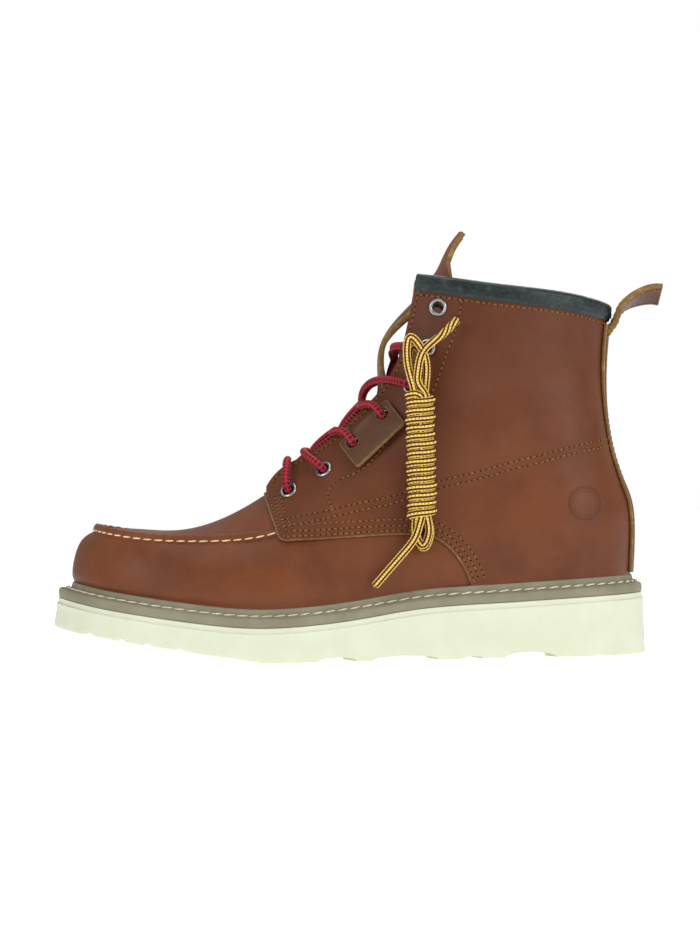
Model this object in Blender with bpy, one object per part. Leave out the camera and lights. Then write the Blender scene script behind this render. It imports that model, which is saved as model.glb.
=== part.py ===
"""Left work boot with a wedge sole, a raised toe seam and seven pairs of eyelets.

The toe points to -X, the lateral side to -Y and up is +Z, in metres. The origin is on the
floor at the middle of the heel's flat spot.

A rib runs from the welt up to the top edge. Ribs are numbered 0 at the toe to 12 at the
heel, negative on the lateral side and positive on the medial side. A level is a line right
round the upper: 0 lip, 1 bulge, 2 shoulder, 3 toe seam, 4 instep, 5 top edge. Every piece
that follows the foot is worked out from skin(ribs, levels).
"""

import math

import bmesh
import bpy
import numpy as np
from mathutils import Matrix, Vector

# Driving sizes
SOLE_LENGTH = 0.2975  # along the top edge of the outsole
BALL_WIDTH = 0.107
HEEL_WIDTH = 0.078
BALL_STACK = 0.0172  # outsole under the ball
HEEL_STACK = 0.0297  # outsole under the heel
TOE_SPRING = 0.016
TOE_HEIGHT = 0.037  # from the outsole's top to the toe seam
SHAFT_RISE = 0.130  # from the toe seam's height to the front of the collar
SHAFT_WIDTH = 0.0675
THROAT_GAP = 0.054  # between the facings at the collar
WALL = 0.0022
OVERLAY = 0.0014
CLEARANCE = 0.0003

# Sole
SOLE_FLARE = 0.0012
TOE_FLARE = 0.0014
SOLE_CHAMFER = 0.0012
LEDGE_DROP = 0.0032
LEDGE_STEP = 0.0006
GROOVE_WAVE = 0.0035
WELT_REACH = 0.0080  # from the edge of the sole to the upper at the toe
WELT_THICK = 0.0048
LIP_HEIGHT = 0.0093
LIP_THICK = 0.0011
WELT_SHELF = 0.0046  # how far the welt goes in under the upper
INSOLE_TOP = 0.0078

# Upper
FEATHER_HEIGHT = WELT_THICK + CLEARANCE
SKIRT_TOP = LIP_HEIGHT + 0.0004
RIM_HEIGHT = 0.0034
RIM_THICK = 0.0028
BINDING_HEIGHT = 0.0080
BINDING_THICK = 0.0010
BACKSTAY_WIDTH = 0.0190
BACKSTAY_THICK = 0.0016
TONGUE_THICK = 0.0026
LOOP_WIDTH = 0.0170
LOOP_THICK = 0.0030

# Lacing
EYELET_PAIRS = 7
EYELET_EDGE = 0.0138  # from the facing's edge
FIRST_EYELET = 0.0066  # along the eyelet line, from the bottom end of the throat
LAST_EYELET = 0.0150  # along the eyelet line, from the collar
EYELET_RADIUS = 0.0046
BORE_RADIUS = 0.0028
HOLE_RADIUS = 0.0036
LACE = 0.0034  # diameter
PATCH_LENGTH = 0.0330
PATCH_WIDTH = 0.0195
PATCH_THICK = 0.0020
PATCH_LIFT = 0.0022  # above the quarter, so that it clears the eyelets' flanges
PATCH_DROP = 0.0045  # from the eyelets' line down to the patch's middle
PATCH_PAIRS = (2, 3)

# Spare lace, wound into a hank that hangs on the lateral side
SPARE_LACE = 0.0038
HANK_WIDTH = 0.0150
HANK_DEPTH = 0.0110

COLUMNS = 48  # round the upper, the welt and the insole, so that their facets match
TOE_X = -0.9 * SOLE_LENGTH
TOP = 5
THROAT = 5  # the rib at the bottom end of the throat
CORNER = 9  # the rib at the front corner of the collar
HEEL = 12

# rib 0 to 12: along the sole, then half widths as shares of the sole's half width there
OUTLINE = (  # along, lateral, medial
    (0.000, -0.093, 0.093),
    (0.018, 0.308, 0.477),
    (0.067, 0.658, 0.738),
    (0.150, 0.907, 0.897),
    (0.260, 1.028, 0.959),
    (0.360, 1.052, 0.912),
    (0.460, 1.037, 0.841),
    (0.555, 1.044, 0.826),
    (0.650, 1.070, 0.874),
    (0.755, 1.059, 0.941),
    (0.875, 0.974, 0.936),
    (0.962, 0.662, 0.667),
    (1.000, 0.000, 0.000),
)

SOLE_TOP = (  # along, share of the toe spring, share of the heel's extra stack
    (0.000, 1.000, 0.00),
    (0.075, 0.694, 0.00),
    (0.144, 0.469, 0.00),
    (0.211, 0.275, 0.00),
    (0.282, 0.100, 0.00),
    (0.345, 0.010, 0.00),
    (0.400, 0.000, 0.03),
    (0.470, 0.000, 0.16),
    (0.534, 0.000, 0.36),
    (0.600, 0.000, 0.60),
    (0.670, 0.000, 0.745),
    (0.755, 0.000, 0.83),
    (0.853, 0.000, 0.94),
    (1.000, 0.000, 1.10),
)

SOLE_BOTTOM = (  # along, share of the toe spring
    (-0.010, 1.150),
    (0.033, 0.975),
    (0.075, 0.850),
    (0.120, 0.700),
    (0.160, 0.580),
    (0.208, 0.440),
    (0.255, 0.294),
    (0.315, 0.130),
    (0.355, 0.000),
    (0.430, 0.000),
)

GROOVES = (  # from, to, depth in metres: the hollows across the tread
    (0.055, 0.068, 0.0013),
    (0.108, 0.120, 0.0011),
    (0.150, 0.162, 0.0010),
    (0.205, 0.216, 0.0009),
    (0.434, 0.498, 0.0023),
    (0.525, 0.640, 0.0023),
    (0.680, 0.716, 0.0013),
    (0.752, 0.842, 0.0029),
)

# rib 0 to 12: how far the upper lies inside the sole's edge, as shares of WELT_REACH, and
# heights above the outsole as shares of TOE_HEIGHT
SIDE = (  # lip inset, bulge inset, bulge height, shoulder inset, shoulder height
    (1.00, 0.88, 0.35, 1.34, 0.78),
    (1.00, 0.88, 0.35, 1.33, 0.77),
    (0.95, 0.82, 0.35, 1.25, 0.76),
    (0.85, 0.68, 0.35, 0.97, 0.75),
    (0.80, 0.60, 0.38, 0.95, 0.76),
    (0.78, 0.60, 0.41, 1.00, 0.81),
    (0.78, 0.65, 0.46, 1.00, 0.92),
    (0.78, 0.70, 0.54, 1.00, 1.03),
    (0.80, 0.70, 0.62, 0.90, 1.14),
    (0.85, 0.68, 0.70, 0.75, 1.24),
    (0.88, 0.62, 0.78, 0.72, 1.35),
    (0.90, 0.70, 0.84, 1.02, 1.40),
    (0.91, 0.79, 0.89, 1.28, 1.46),
)

# rib 0 to 12: along the sole, half widths as above, rise as a share of SHAFT_RISE
SEAM = (  # along, lateral, medial, rise
    (0.062, -0.086, 0.086, 0.000),
    (0.073, 0.215, 0.374, 0.000),
    (0.105, 0.495, 0.589, 0.000),
    (0.171, 0.664, 0.692, 0.004),
    (0.265, 0.710, 0.682, 0.027),
    (0.359, 0.720, 0.636, 0.061),
    (0.453, 0.753, 0.646, 0.118),
    (0.547, 0.811, 0.692, 0.174),
    (0.638, 0.865, 0.761, 0.224),
    (0.732, 0.879, 0.821, 0.276),
    (0.833, 0.833, 0.795, 0.302),
    (0.922, 0.551, 0.538, 0.292),
    (0.945, 0.000, 0.000, 0.274),
)

INSTEP = (  # along, lateral, medial, rise
    (0.097, -0.080, 0.080, 0.028),
    (0.108, 0.065, 0.222, 0.030),
    (0.140, 0.233, 0.336, 0.034),
    (0.197, 0.336, 0.374, 0.045),
    (0.275, 0.383, 0.374, 0.090),
    (0.358, 0.383, 0.346, 0.160),
    (0.446, 0.450, 0.401, 0.250),
    (0.541, 0.600, 0.535, 0.354),
    (0.625, 0.765, 0.692, 0.489),
    (0.692, 0.872, 0.812, 0.641),
    (0.796, 0.892, 0.848, 0.645),
    (0.897, 0.577, 0.564, 0.611),
    (0.935, 0.000, 0.000, 0.565),
)

RIDGE = (  # rib, along, rise: where the two sides meet in front of the throat
    (0, 0.134, 0.036),
    (1, 0.144, 0.038),
    (2, 0.172, 0.044),
    (3, 0.218, 0.062),
    (4, 0.283, 0.122),
    (5, 0.356, 0.222),
)

FACING = (  # rib, along, rise, half gap as a share of THROAT_GAP
    (5.00, 0.356, 0.222, 0.000),
    (5.12, 0.365, 0.258, 0.095),
    (5.30, 0.378, 0.300, 0.141),
    (6.00, 0.438, 0.373, 0.177),
    (7.00, 0.529, 0.515, 0.250),
    (8.00, 0.590, 0.684, 0.360),
    (9.00, 0.624, 1.000, 0.500),
)

COLLAR = (  # rib, along, rise, half width as a share of SHAFT_WIDTH
    (9, 0.624, 1.000, 0.400),
    (10, 0.752, 0.941, 0.498),
    (11, 0.884, 0.884, 0.400),
    (12, 0.947, 0.842, 0.000),
)

# The quarter's lower edge in side view: along, height above the floor as a share of HEEL_STACK
QUARTER_EDGE = (
    (0.3600, 2.82),
    (0.3700, 2.44),
    (0.3790, 2.20),
    (0.3860, 2.06),
    (0.3970, 2.02),
    (0.5160, 2.09),
    (0.6010, 2.11),
    (0.6500, 2.01),
    (0.6720, 1.84),
    (0.6900, 1.60),
    (0.7010, 1.36),
    (0.7040, 1.10),
)

TONGUE = (  # along, rise, half width and crown as shares of THROAT_GAP
    (0.336, 0.106, 0.240, 0.155),
    (0.368, 0.166, 0.265, 0.174),
    (0.407, 0.238, 0.278, 0.192),
    (0.452, 0.304, 0.282, 0.215),
    (0.498, 0.378, 0.248, 0.232),
    (0.534, 0.468, 0.222, 0.205),
    (0.552, 0.575, 0.220, 0.060),
    (0.553, 0.670, 0.220, 0.020),
    (0.560, 0.768, 0.222, 0.006),
    (0.587, 0.850, 0.300, 0.040),
    (0.617, 0.912, 0.370, 0.068),
    (0.637, 0.965, 0.445, 0.185),
    (0.648, 0.995, 0.465, 0.260),
    (0.657, 1.022, 0.435, 0.130),
    (0.665, 1.056, 0.398, 0.046),
    (0.679, 1.116, 0.389, 0.033),
    (0.6975, 1.168, 0.343, 0.022),
)

# Where each lace crosses the middle: the bar over the lowest pair, then the crossings
LACE_CROWN = (  # along, rise
    (0.394, 0.336),
    (0.432, 0.366),
    (0.479, 0.445),
    (0.521, 0.529),
    (0.528, 0.613),
    (0.5825, 0.684),
)

PULL_LOOP = (  # back of the collar, height above it, twist in degrees
    (0.0018, -0.0085, 0.0),
    (0.0044, -0.0028, 5.0),
    (0.0090, 0.0015, 13.0),
    (0.0150, 0.0042, 21.0),
    (0.0210, 0.0055, 27.0),
    (0.0256, 0.0052, 30.0),
)

HANK_PLACE = (0.6230, 0.0449)  # along, out from the side
SPARE_CORDS = {  # along, out from the side, height
    "spare_lace_top_end": (
        (0.6200, 0.0471, 0.1378),
        (0.6200, 0.0474, 0.1440),
        (0.6280, 0.0469, 0.1530),
        (0.6580, 0.0434, 0.1610),
        (0.6880, 0.0409, 0.1695),
    ),
    "spare_lace_top_loop": (
        (0.6110, 0.0429, 0.1378),
        (0.6020, 0.0429, 0.1530),
        (0.6090, 0.0429, 0.1610),
        (0.6230, 0.0429, 0.1570),
        (0.6330, 0.0429, 0.1378),
    ),
    "spare_lace_low_loop": (
        (0.6330, 0.0429, 0.0682),
        (0.6320, 0.0429, 0.0610),
        (0.6230, 0.0429, 0.0570),
        (0.6140, 0.0429, 0.0610),
        (0.6120, 0.0429, 0.0682),
    ),
    "spare_lace_low_end": (
        (0.6190, 0.0471, 0.0682),
        (0.6120, 0.0476, 0.0620),
        (0.5920, 0.0489, 0.0540),
        (0.5630, 0.0499, 0.0445),
        (0.5420, 0.0504, 0.0375),
    ),
}


# Curves
def spline(knots, rows, at, closed=False):
    """The cubic through the rows, natural at its ends or closed on itself."""
    knots, rows, at = (np.asarray(v, float) for v in (knots, rows, at))
    gaps = np.diff(knots)
    last = len(gaps)
    slopes = np.diff(rows, axis=0) / gaps[:, None]
    matrix = np.eye(last + 1)
    right = np.zeros((last + 1, rows.shape[1]))
    for i in range(1, last):
        matrix[i, i - 1 : i + 2] = gaps[i - 1], 2 * (gaps[i - 1] + gaps[i]), gaps[i]
        right[i] = 6 * (slopes[i] - slopes[i - 1])
    if closed:
        matrix[0, [0, 1, last - 1]] = 2 * (gaps[-1] + gaps[0]), gaps[0], gaps[-1]
        right[0] = 6 * (slopes[0] - slopes[-1])
        matrix[last, 0] = -1
    bends = np.linalg.solve(matrix, right)
    i = np.clip(np.searchsorted(knots, at, side="right") - 1, 0, last - 1)
    gap = gaps[i][:, None]
    after = (at - knots[i])[:, None]
    before = gap - after
    return (
        (bends[i] * before**3 + bends[i + 1] * after**3) / (6 * gap)
        + (rows[i] / gap - bends[i] * gap / 6) * before
        + (rows[i + 1] / gap - bends[i + 1] * gap / 6) * after
    )


def ease(value, start, end):
    """0 before start, 1 after end, smooth between."""
    share = np.clip((np.asarray(value, float) - start) / (end - start), 0, 1)
    return share * share * (3 - 2 * share)


def unit(vectors):
    return vectors / np.linalg.norm(vectors, axis=-1, keepdims=True)


def table_at(table, values, column):
    rows = np.array(table)
    return np.interp(values, rows[:, 0], rows[:, column])


def along_x(along):
    return TOE_X + np.asarray(along, float) * SOLE_LENGTH


def x_along(x):
    return (np.asarray(x, float) - TOE_X) / SOLE_LENGTH


def half_width(along):
    """Half the sole's nominal width, from the ball's to the heel's."""
    share = ease(along, 0.36, 0.75)
    return (BALL_WIDTH * (1 - share) + HEEL_WIDTH * share) / 2


def sole_top(x):
    knots = np.array(SOLE_TOP)
    shares = spline(knots[:, 0], knots[:, 1:], np.clip(x_along(x), 0, 1))
    return BALL_STACK + shares[:, 0] * TOE_SPRING + shares[:, 1] * (HEEL_STACK - BALL_STACK)


def sole_bottom(x):
    knots = np.array(SOLE_BOTTOM)
    at = np.clip(x_along(x), knots[0, 0], knots[-1, 0])
    return np.maximum(spline(knots[:, 0], knots[:, 1:], at)[:, 0], 0) * TOE_SPRING


def both_sides(rows, lateral, medial):
    """Rows of ribs 0 to 12 laid out for ribs -12 to 12, with y from the two half widths."""
    rows = np.asarray(rows, float)
    lateral_side = np.column_stack([rows, -np.asarray(lateral)])[:0:-1]
    medial_side = np.column_stack([rows, np.asarray(medial)])
    return np.vstack([lateral_side, medial_side])


RIBS = np.arange(-HEEL, HEEL + 1)


def outline(ribs, inset=0.0):
    """Points of the sole's top edge in plan, moved in by inset."""
    table = np.array(OUTLINE)
    width = half_width(table[:, 0])
    rows = both_sides(along_x(table[:, 0]), table[:, 1] * width, table[:, 2] * width)
    point = spline(RIBS, rows, ribs, closed=True)
    step = 1e-3
    wrapped = (np.asarray(ribs) + step + HEEL) % (2 * HEEL) - HEEL
    heading = unit(spline(RIBS, rows, wrapped, closed=True) - point)
    inward = np.column_stack([heading[:, 1], -heading[:, 0]])
    return point + inward * np.broadcast_to(inset, len(point))[:, None]


def cover(ribs):
    """1 where the quarter lies on the vamp down at the welt, 0 in front of it."""
    return ease(np.abs(ribs), 8.0, 8.4)


def side_column(ribs, column):
    return table_at([(i, *row) for i, row in enumerate(SIDE)], np.abs(ribs), column + 1)


def side_level(ribs, inset_column, height_column=None):
    """A level given by its inset from the sole's edge and its height above the outsole."""
    plan = outline(ribs, side_column(ribs, inset_column) * WELT_REACH)
    if height_column is None:
        height = SKIRT_TOP
    else:
        height = side_column(ribs, height_column) * TOE_HEIGHT
    return np.column_stack([plan, sole_top(plan[:, 0]) + height])


def table_level(ribs, table):
    """A level given by a table of along, lateral, medial and rise."""
    rows = np.array(table)
    width = half_width(np.array(OUTLINE)[:, 0])
    knots = both_sides(rows[:, [0, 3]], rows[:, 1] * width, rows[:, 2] * width)
    found = spline(RIBS, knots, ribs, closed=True)
    x = along_x(found[:, 0])
    return np.column_stack([x, found[:, 2], sole_top(x) + TOE_HEIGHT + found[:, 1] * SHAFT_RISE])


def ridge_y(x):
    """The centre line of the foot in plan: it swings to the medial side at the toe."""
    return 0.0050 * (1 - ease(x_along(x), 0.05, 0.42))


def top_level(ribs):
    """The ridge in front of the throat, the two facings' edges and the collar."""
    ribs = np.asarray(ribs, float)
    rib = np.abs(ribs)
    side = np.where(ribs < 0, -1.0, 1.0)
    ridge = np.array(RIDGE)
    mirrored = np.vstack([ridge[:0:-1] * (-1, 1, 1), ridge])
    facing = np.array(FACING)
    collar = np.array(COLLAR)
    past_heel = collar[-2::-1] * (-1, 1, 1, -1) + (2 * HEEL, 0, 0, 0)
    collar = np.vstack([collar, past_heel])
    on_ridge = spline(mirrored[:, 0], mirrored[:, 1:], np.minimum(rib, THROAT))
    on_facing = spline(facing[:, 0], facing[:, 1:], np.clip(rib, THROAT, CORNER))
    on_collar = spline(collar[:, 0], collar[:, 1:], np.maximum(rib, CORNER))
    along_rise = np.where(
        (rib < THROAT)[:, None],
        on_ridge,
        np.where((rib < CORNER)[:, None], on_facing[:, :2], on_collar[:, :2]),
    )
    x = along_x(along_rise[:, 0])
    reach = np.where(rib < CORNER, on_facing[:, 2] * THROAT_GAP, on_collar[:, 2] * SHAFT_WIDTH)
    y = ridge_y(x) + side * np.where(rib <= THROAT, 0, reach)
    return np.column_stack([x, y, sole_top(x) + TOE_HEIGHT + along_rise[:, 1] * SHAFT_RISE])


LEVEL_KNOTS = np.array([0.0, 0.35, 1.0, 1.6, 2.5, 3.4])


def all_levels(ribs):
    return np.stack(
        [
            side_level(ribs, 0),
            side_level(ribs, 1, 2),
            side_level(ribs, 3, 4),
            table_level(ribs, SEAM),
            table_level(ribs, INSTEP),
            top_level(ribs),
        ],
        axis=1,
    )


def level_weights(at):
    """How much each level counts at these heights, for four ways of drawing the rib."""
    count = len(LEVEL_KNOTS)
    none = np.zeros((len(at), count))
    mirrored = np.concatenate([LEVEL_KNOTS, 2 * LEVEL_KNOTS[-1] - LEVEL_KNOTS[-2::-1]])
    free = spline(LEVEL_KNOTS, np.eye(count), at)
    whole = spline(mirrored, np.eye(len(mirrored)), at)
    below = (at <= LEVEL_KNOTS[3])[:, None]
    low = spline(LEVEL_KNOTS[:4], np.eye(4), at)
    high_free = spline(LEVEL_KNOTS[3:], np.eye(3), at)
    high_whole = spline(mirrored[3:8], np.eye(5), at)
    corner_free = np.hstack([np.where(below, low, 0), none[:, 4:]])
    corner_free[:, 3:] += np.where(below, 0, high_free)
    corner_whole = np.zeros((len(at), len(mirrored)))
    corner_whole[:, :4] = np.where(below, low, 0)
    corner_whole[:, 3:8] += np.where(below, 0, high_whole)
    pad = np.zeros((len(at), count - 1))
    return np.hstack([free, pad]), whole, np.hstack([corner_free, pad]), corner_whole


def skin(ribs, levels):
    """Points of the vamp's outer face, without the toe rim or the quarter on it."""
    ribs, levels = np.broadcast_arrays(np.asarray(ribs, float), np.asarray(levels, float))
    shape = ribs.shape
    ribs = (ribs.ravel() + HEEL) % (2 * HEEL) - HEEL
    at = np.interp(levels.ravel(), np.arange(len(LEVEL_KNOTS)), LEVEL_KNOTS)
    own = all_levels(ribs)
    other = all_levels(-ribs)[:, -2::-1]
    rows = np.concatenate([own, other], axis=1)
    free, whole, corner_free, corner_whole = level_weights(at)
    corner = 1 - ease(np.abs(ribs), 4.4, 6.2)[:, None]
    closed = 1 - ease(np.abs(ribs), THROAT - 0.5, THROAT)[:, None]
    weights = corner * (closed * corner_whole + (1 - closed) * corner_free)
    weights = weights + (1 - corner) * (closed * whole + (1 - closed) * free)
    return np.einsum("nk,nkc->nc", weights, rows).reshape(shape + (3,))


def skin_normal(ribs, levels, mirrored=False):
    ribs, levels = np.broadcast_arrays(np.asarray(ribs, float), np.asarray(levels, float))
    step = 0.02
    low, high = np.maximum(levels - step, 0), np.minimum(levels + step, TOP - step)
    low = np.minimum(low, high - step)
    level = np.minimum(levels, TOP - step)
    up = skin(ribs, high) - skin(ribs, low)
    round_it = skin(ribs + step, level) - skin(ribs - step, level)
    normal = unit(np.cross(up, round_it))
    on_ridge = (levels > TOP - 1e-6) & (np.abs(ribs) <= THROAT)
    if on_ridge.any() and not mirrored:
        other = skin_normal(-ribs, levels, True) * (1, -1, 1)
        normal = np.where(on_ridge[..., None], (normal + other) * (1, 0, 1), normal)
    return unit(normal)


def offset(ribs, levels, out):
    return skin(ribs, levels) + skin_normal(ribs, levels) * out


def skirt(ribs, out):
    """The bottom edge of the upper, straight below the lip level."""
    edge = offset(ribs, 0 * np.asarray(ribs, float), out)
    edge[:, 2] = sole_top(edge[:, 0]) + FEATHER_HEIGHT
    return edge


def near_top(ribs, distance):
    """The level at this distance below the top edge."""
    levels = np.linspace(3.2, TOP, 46)
    found = []
    for rib in ribs:
        points = skin(np.full(len(levels), rib), levels)
        steps = np.linalg.norm(np.diff(points, axis=0), axis=1)
        below = np.concatenate([np.cumsum(steps[::-1])[::-1], [0]])
        found.append(np.interp(-distance, -below, levels))
    return np.array(found)


def near_facing(ribs, distance):
    """The level at this distance from the facing's edge, measured straight to the edge."""
    edge = skin(np.linspace(THROAT, CORNER, 100), float(TOP))
    levels = np.linspace(3.0, TOP, 41)
    found = []
    for rib in ribs:
        points = skin(np.full(len(levels), rib), levels)
        to_edge = np.linalg.norm(points[:, None] - edge, axis=2).min(axis=1)
        found.append(np.interp(-distance, -to_edge, levels))
    return np.array(found)


# Blender objects
def clear_scene():
    for obj in list(bpy.data.objects):
        bpy.data.objects.remove(obj, do_unlink=True)


def new_collection(name):
    made = bpy.data.collections.new(name)
    bpy.context.scene.collection.children.link(made)
    return made


def material(name, colour, roughness, metallic=0.0):
    made = bpy.data.materials.new(name)
    made.use_nodes = True
    shader = made.node_tree.nodes["Principled BSDF"]
    shader.inputs["Base Color"].default_value = (*colour, 1)
    shader.inputs["Roughness"].default_value = roughness
    shader.inputs["Metallic"].default_value = metallic
    return made


def object_from(bm, name, finish=None, merge=1e-6):
    """A mesh object of this bmesh, welded and facing out. With no finish it is a cutter."""
    bmesh.ops.remove_doubles(bm, verts=bm.verts, dist=merge)
    bmesh.ops.dissolve_degenerate(bm, edges=bm.edges, dist=merge)
    bmesh.ops.recalc_face_normals(bm, faces=bm.faces)
    mesh = bpy.data.meshes.new(name)
    bm.to_mesh(mesh)
    bm.free()
    obj = bpy.data.objects.new(name, mesh)
    if finish is None:
        CUTTERS.objects.link(obj)
        obj.hide_render = True
        obj.display_type = "WIRE"
    else:
        PARTS.objects.link(obj)
        mesh.materials.append(finish)
        mesh.shade_smooth()
        mesh.set_sharp_from_angle(angle=math.radians(40))
    return obj


def add_grid(bm, points, wrap_rows=False, wrap_columns=False):
    """Quads over rows x columns of points; returns the vertices, row by row."""
    rows = [[bm.verts.new(point) for point in row] for row in points]
    row_count, column_count = len(rows), len(rows[0])
    for i in range(row_count if wrap_rows else row_count - 1):
        for j in range(column_count if wrap_columns else column_count - 1):
            next_row, next_column = rows[(i + 1) % row_count], (j + 1) % column_count
            bm.faces.new((rows[i][j], rows[i][next_column], next_row[next_column], next_row[j]))
    return rows


def add_sweep(bm, sections, closed=False):
    """A tube through the sections, each the same closed loop of points."""
    rows = add_grid(bm, sections, wrap_rows=closed, wrap_columns=True)
    if not closed:
        bm.faces.new(rows[0])
        bm.faces.new(rows[-1])


def add_sheet(bm, outer, inner):
    """A plate with edges all round between two grids of the same size."""
    columns = [
        np.vstack([outer[:, j], inner[::-1, j]]) for j in range(outer.shape[1])
    ]
    rows = add_grid(bm, columns, wrap_columns=True)
    count = outer.shape[0]
    for row in (rows[0], rows[-1]):
        for i in range(count - 1):
            bm.faces.new((row[i], row[i + 1], row[-2 - i], row[-1 - i]))


def boolean(obj, cutter, operation):
    modifier = obj.modifiers.new(operation.title(), "BOOLEAN")
    modifier.operation = operation
    modifier.object = cutter
    modifier.solver = "EXACT"


def tube(points, diameter, sides=6):
    """Sections of a round cord through these points."""
    points = np.asarray(points, float)
    ahead = unit(np.gradient(points, axis=0))
    sections = []
    across = np.cross(ahead[0], (0.37, 0.11, 0.92))
    for point, direction in zip(points, ahead):
        across = unit(across - direction * np.dot(across, direction))
        other = np.cross(direction, across)
        turns = np.arange(sides) * 2 * math.pi / sides
        ring = np.outer(np.cos(turns), across) + np.outer(np.sin(turns), other)
        sections.append(point + ring * diameter / 2)
    return sections


def smooth_route(points, count):
    points = np.asarray(points, float)
    steps = np.linalg.norm(np.diff(points, axis=0), axis=1)
    knots = np.concatenate([[0], np.cumsum(steps)])
    return spline(knots, points, np.linspace(0, knots[-1], count))


# Sole
def add_plate(bm, ring_insets, ring_heights, ribs):
    """A plate of closed rings from bottom to top, with ruled faces across both ends."""
    rings = []
    for inset, height in zip(ring_insets, ring_heights):
        plan = outline(ribs, inset)
        rings.append(np.column_stack([plan, height(plan[:, 0])]))
    rows = add_grid(bm, rings, wrap_columns=True)
    count = len(ribs)
    for row in (rows[0], rows[-1]):
        for i in range(count // 2):
            corners = (row[i], row[i + 1], row[-(i + 1) % count], row[-i % count])
            bm.faces.new(list(dict.fromkeys(corners)))


def plate_ribs():
    """Ribs from the heel round the lateral side, so that rib i and rib -i face each other."""
    return -HEEL + np.arange(COLUMNS) * 2 * HEEL / COLUMNS


def make_outsole():
    ribs = plate_ribs()
    flare = SOLE_FLARE + (TOE_FLARE * (1 - ease(np.abs(ribs), 1, 4)))
    bm = bmesh.new()
    add_plate(
        bm,
        (SOLE_CHAMFER - flare, -flare, -LEDGE_STEP - flare / 4, 0 * flare, 0 * flare),
        (
            sole_bottom,
            lambda x: sole_bottom(x) + SOLE_CHAMFER,
            lambda x: sole_top(x) - LEDGE_DROP,
            lambda x: sole_top(x) - LEDGE_DROP + LEDGE_STEP,
            sole_top,
        ),
        ribs,
    )
    outsole = object_from(bm, "outsole", SOLE_CREAM)
    boolean(outsole, make_tread_cutter(), "DIFFERENCE")
    return outsole


def make_tread_cutter():
    """Shallow hollows that run right across the tread in a wave."""
    across = np.linspace(-0.62, 0.62, 9) * BALL_WIDTH
    bm = bmesh.new()
    for start, end, depth in GROOVES:
        wave = GROOVE_WAVE * np.sin(across / BALL_WIDTH * 3 * math.pi)
        wave = wave * min(1.0, (end - start) / 0.03)
        first, last = along_x([start, end])
        middle, reach = (first + last) / 2, (last - first) / 2
        x = middle + np.array([-1, -1, -0.6, 0.6, 1, 1]) * reach
        lift = np.array([-0.004, 0, depth, depth, 0, -0.004]) - 1e-5
        floor = sole_bottom(np.clip(x, along_x(0), along_x(1)))
        sections = [np.column_stack([x + shift, np.full(6, y), floor + lift]) for y, shift in zip(across, wave)]
        add_sweep(bm, sections)
    return object_from(bm, "tread_cutter")


def lip_inset(ribs):
    """The upper's visible face at the lip: the quarter stands proud of the vamp."""
    return side_column(ribs, 0) * WELT_REACH - OVERLAY * cover(ribs)


def make_welt():
    """A ring whose lip stands up round the upper, with a sloping channel for the stitches."""
    ribs = plate_ribs()
    upper = lip_inset(ribs)
    inner = side_column(ribs, 0) * WELT_REACH + WELT_SHELF
    wall = upper - CLEARANCE
    profile = (
        (inner, CLEARANCE),
        (0.0005, CLEARANCE),
        (0.0, 0.0014),
        (0.0, 0.0036),
        (0.0008, WELT_THICK),
        (wall - LIP_THICK - 0.0016, 0.0053),
        (wall - LIP_THICK, 0.0072),
        (wall - LIP_THICK + 0.0001, LIP_HEIGHT - 0.0005),
        (wall - 0.0005, LIP_HEIGHT),
        (wall, LIP_HEIGHT - 0.0004),
        (wall, WELT_THICK),
        (inner, WELT_THICK),
    )
    rings = []
    for inset, height in profile:
        plan = outline(ribs, inset)
        rings.append(np.column_stack([plan, sole_top(plan[:, 0]) + height]))
    bm = bmesh.new()
    add_grid(bm, rings, wrap_rows=True, wrap_columns=True)
    return object_from(bm, "welt", WELT_GREY)


def make_insole():
    """Fills the welt's ring and lies out to the upper's inner face on top of it."""
    ribs = plate_ribs()
    base = side_column(ribs, 0) * WELT_REACH
    low = base + WELT_SHELF + CLEARANCE
    high = base + WALL + 2 * CLEARANCE
    step = WELT_THICK + CLEARANCE
    bm = bmesh.new()
    add_plate(
        bm,
        (low, low, high, high),
        (
            lambda x: sole_top(x) + CLEARANCE,
            lambda x: sole_top(x) + step,
            lambda x: sole_top(x) + step + 0.0001,
            lambda x: sole_top(x) + INSOLE_TOP,
        ),
        ribs,
    )
    return object_from(bm, "insole", TAN)


# Upper
def upper_ribs():
    """The welt's ribs, with closer ones where the throat opens."""
    ribs = plate_ribs()
    close = np.array([side * rib for side in (-1, 1) for rib in (5, 5.12, 5.3)])
    ribs = ribs[np.abs(ribs[:, None] - close).min(axis=1) > 0.15]
    return np.sort(np.concatenate([ribs, close]))


def ribs_round_heel(first):
    """The upper's ribs from this one on the medial side round the heel to its mirror."""
    ribs = upper_ribs()
    ribs = np.concatenate([[first], ribs[ribs > first + 0.02], [HEEL]])
    return np.concatenate([ribs, (2 * HEEL - ribs)[-2::-1]])


def rim_rows(ribs):
    """The raised edge of the vamp along the toe seam: up, across and down again."""
    seam = skin(ribs, 3.0)
    across = unit(skin(ribs, 3.3) - seam)
    share = (1 - ease(np.abs(ribs), 4.7, 5.4))[:, None]
    up = np.array([0, 0, RIM_HEIGHT])
    profile = ((0.10, 0.85), (0.45, 1.0), (0.90, 0.85), (1.10, 0.0))
    return [seam + across * RIM_THICK * part + up * share * rise for part, rise in profile]


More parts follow.
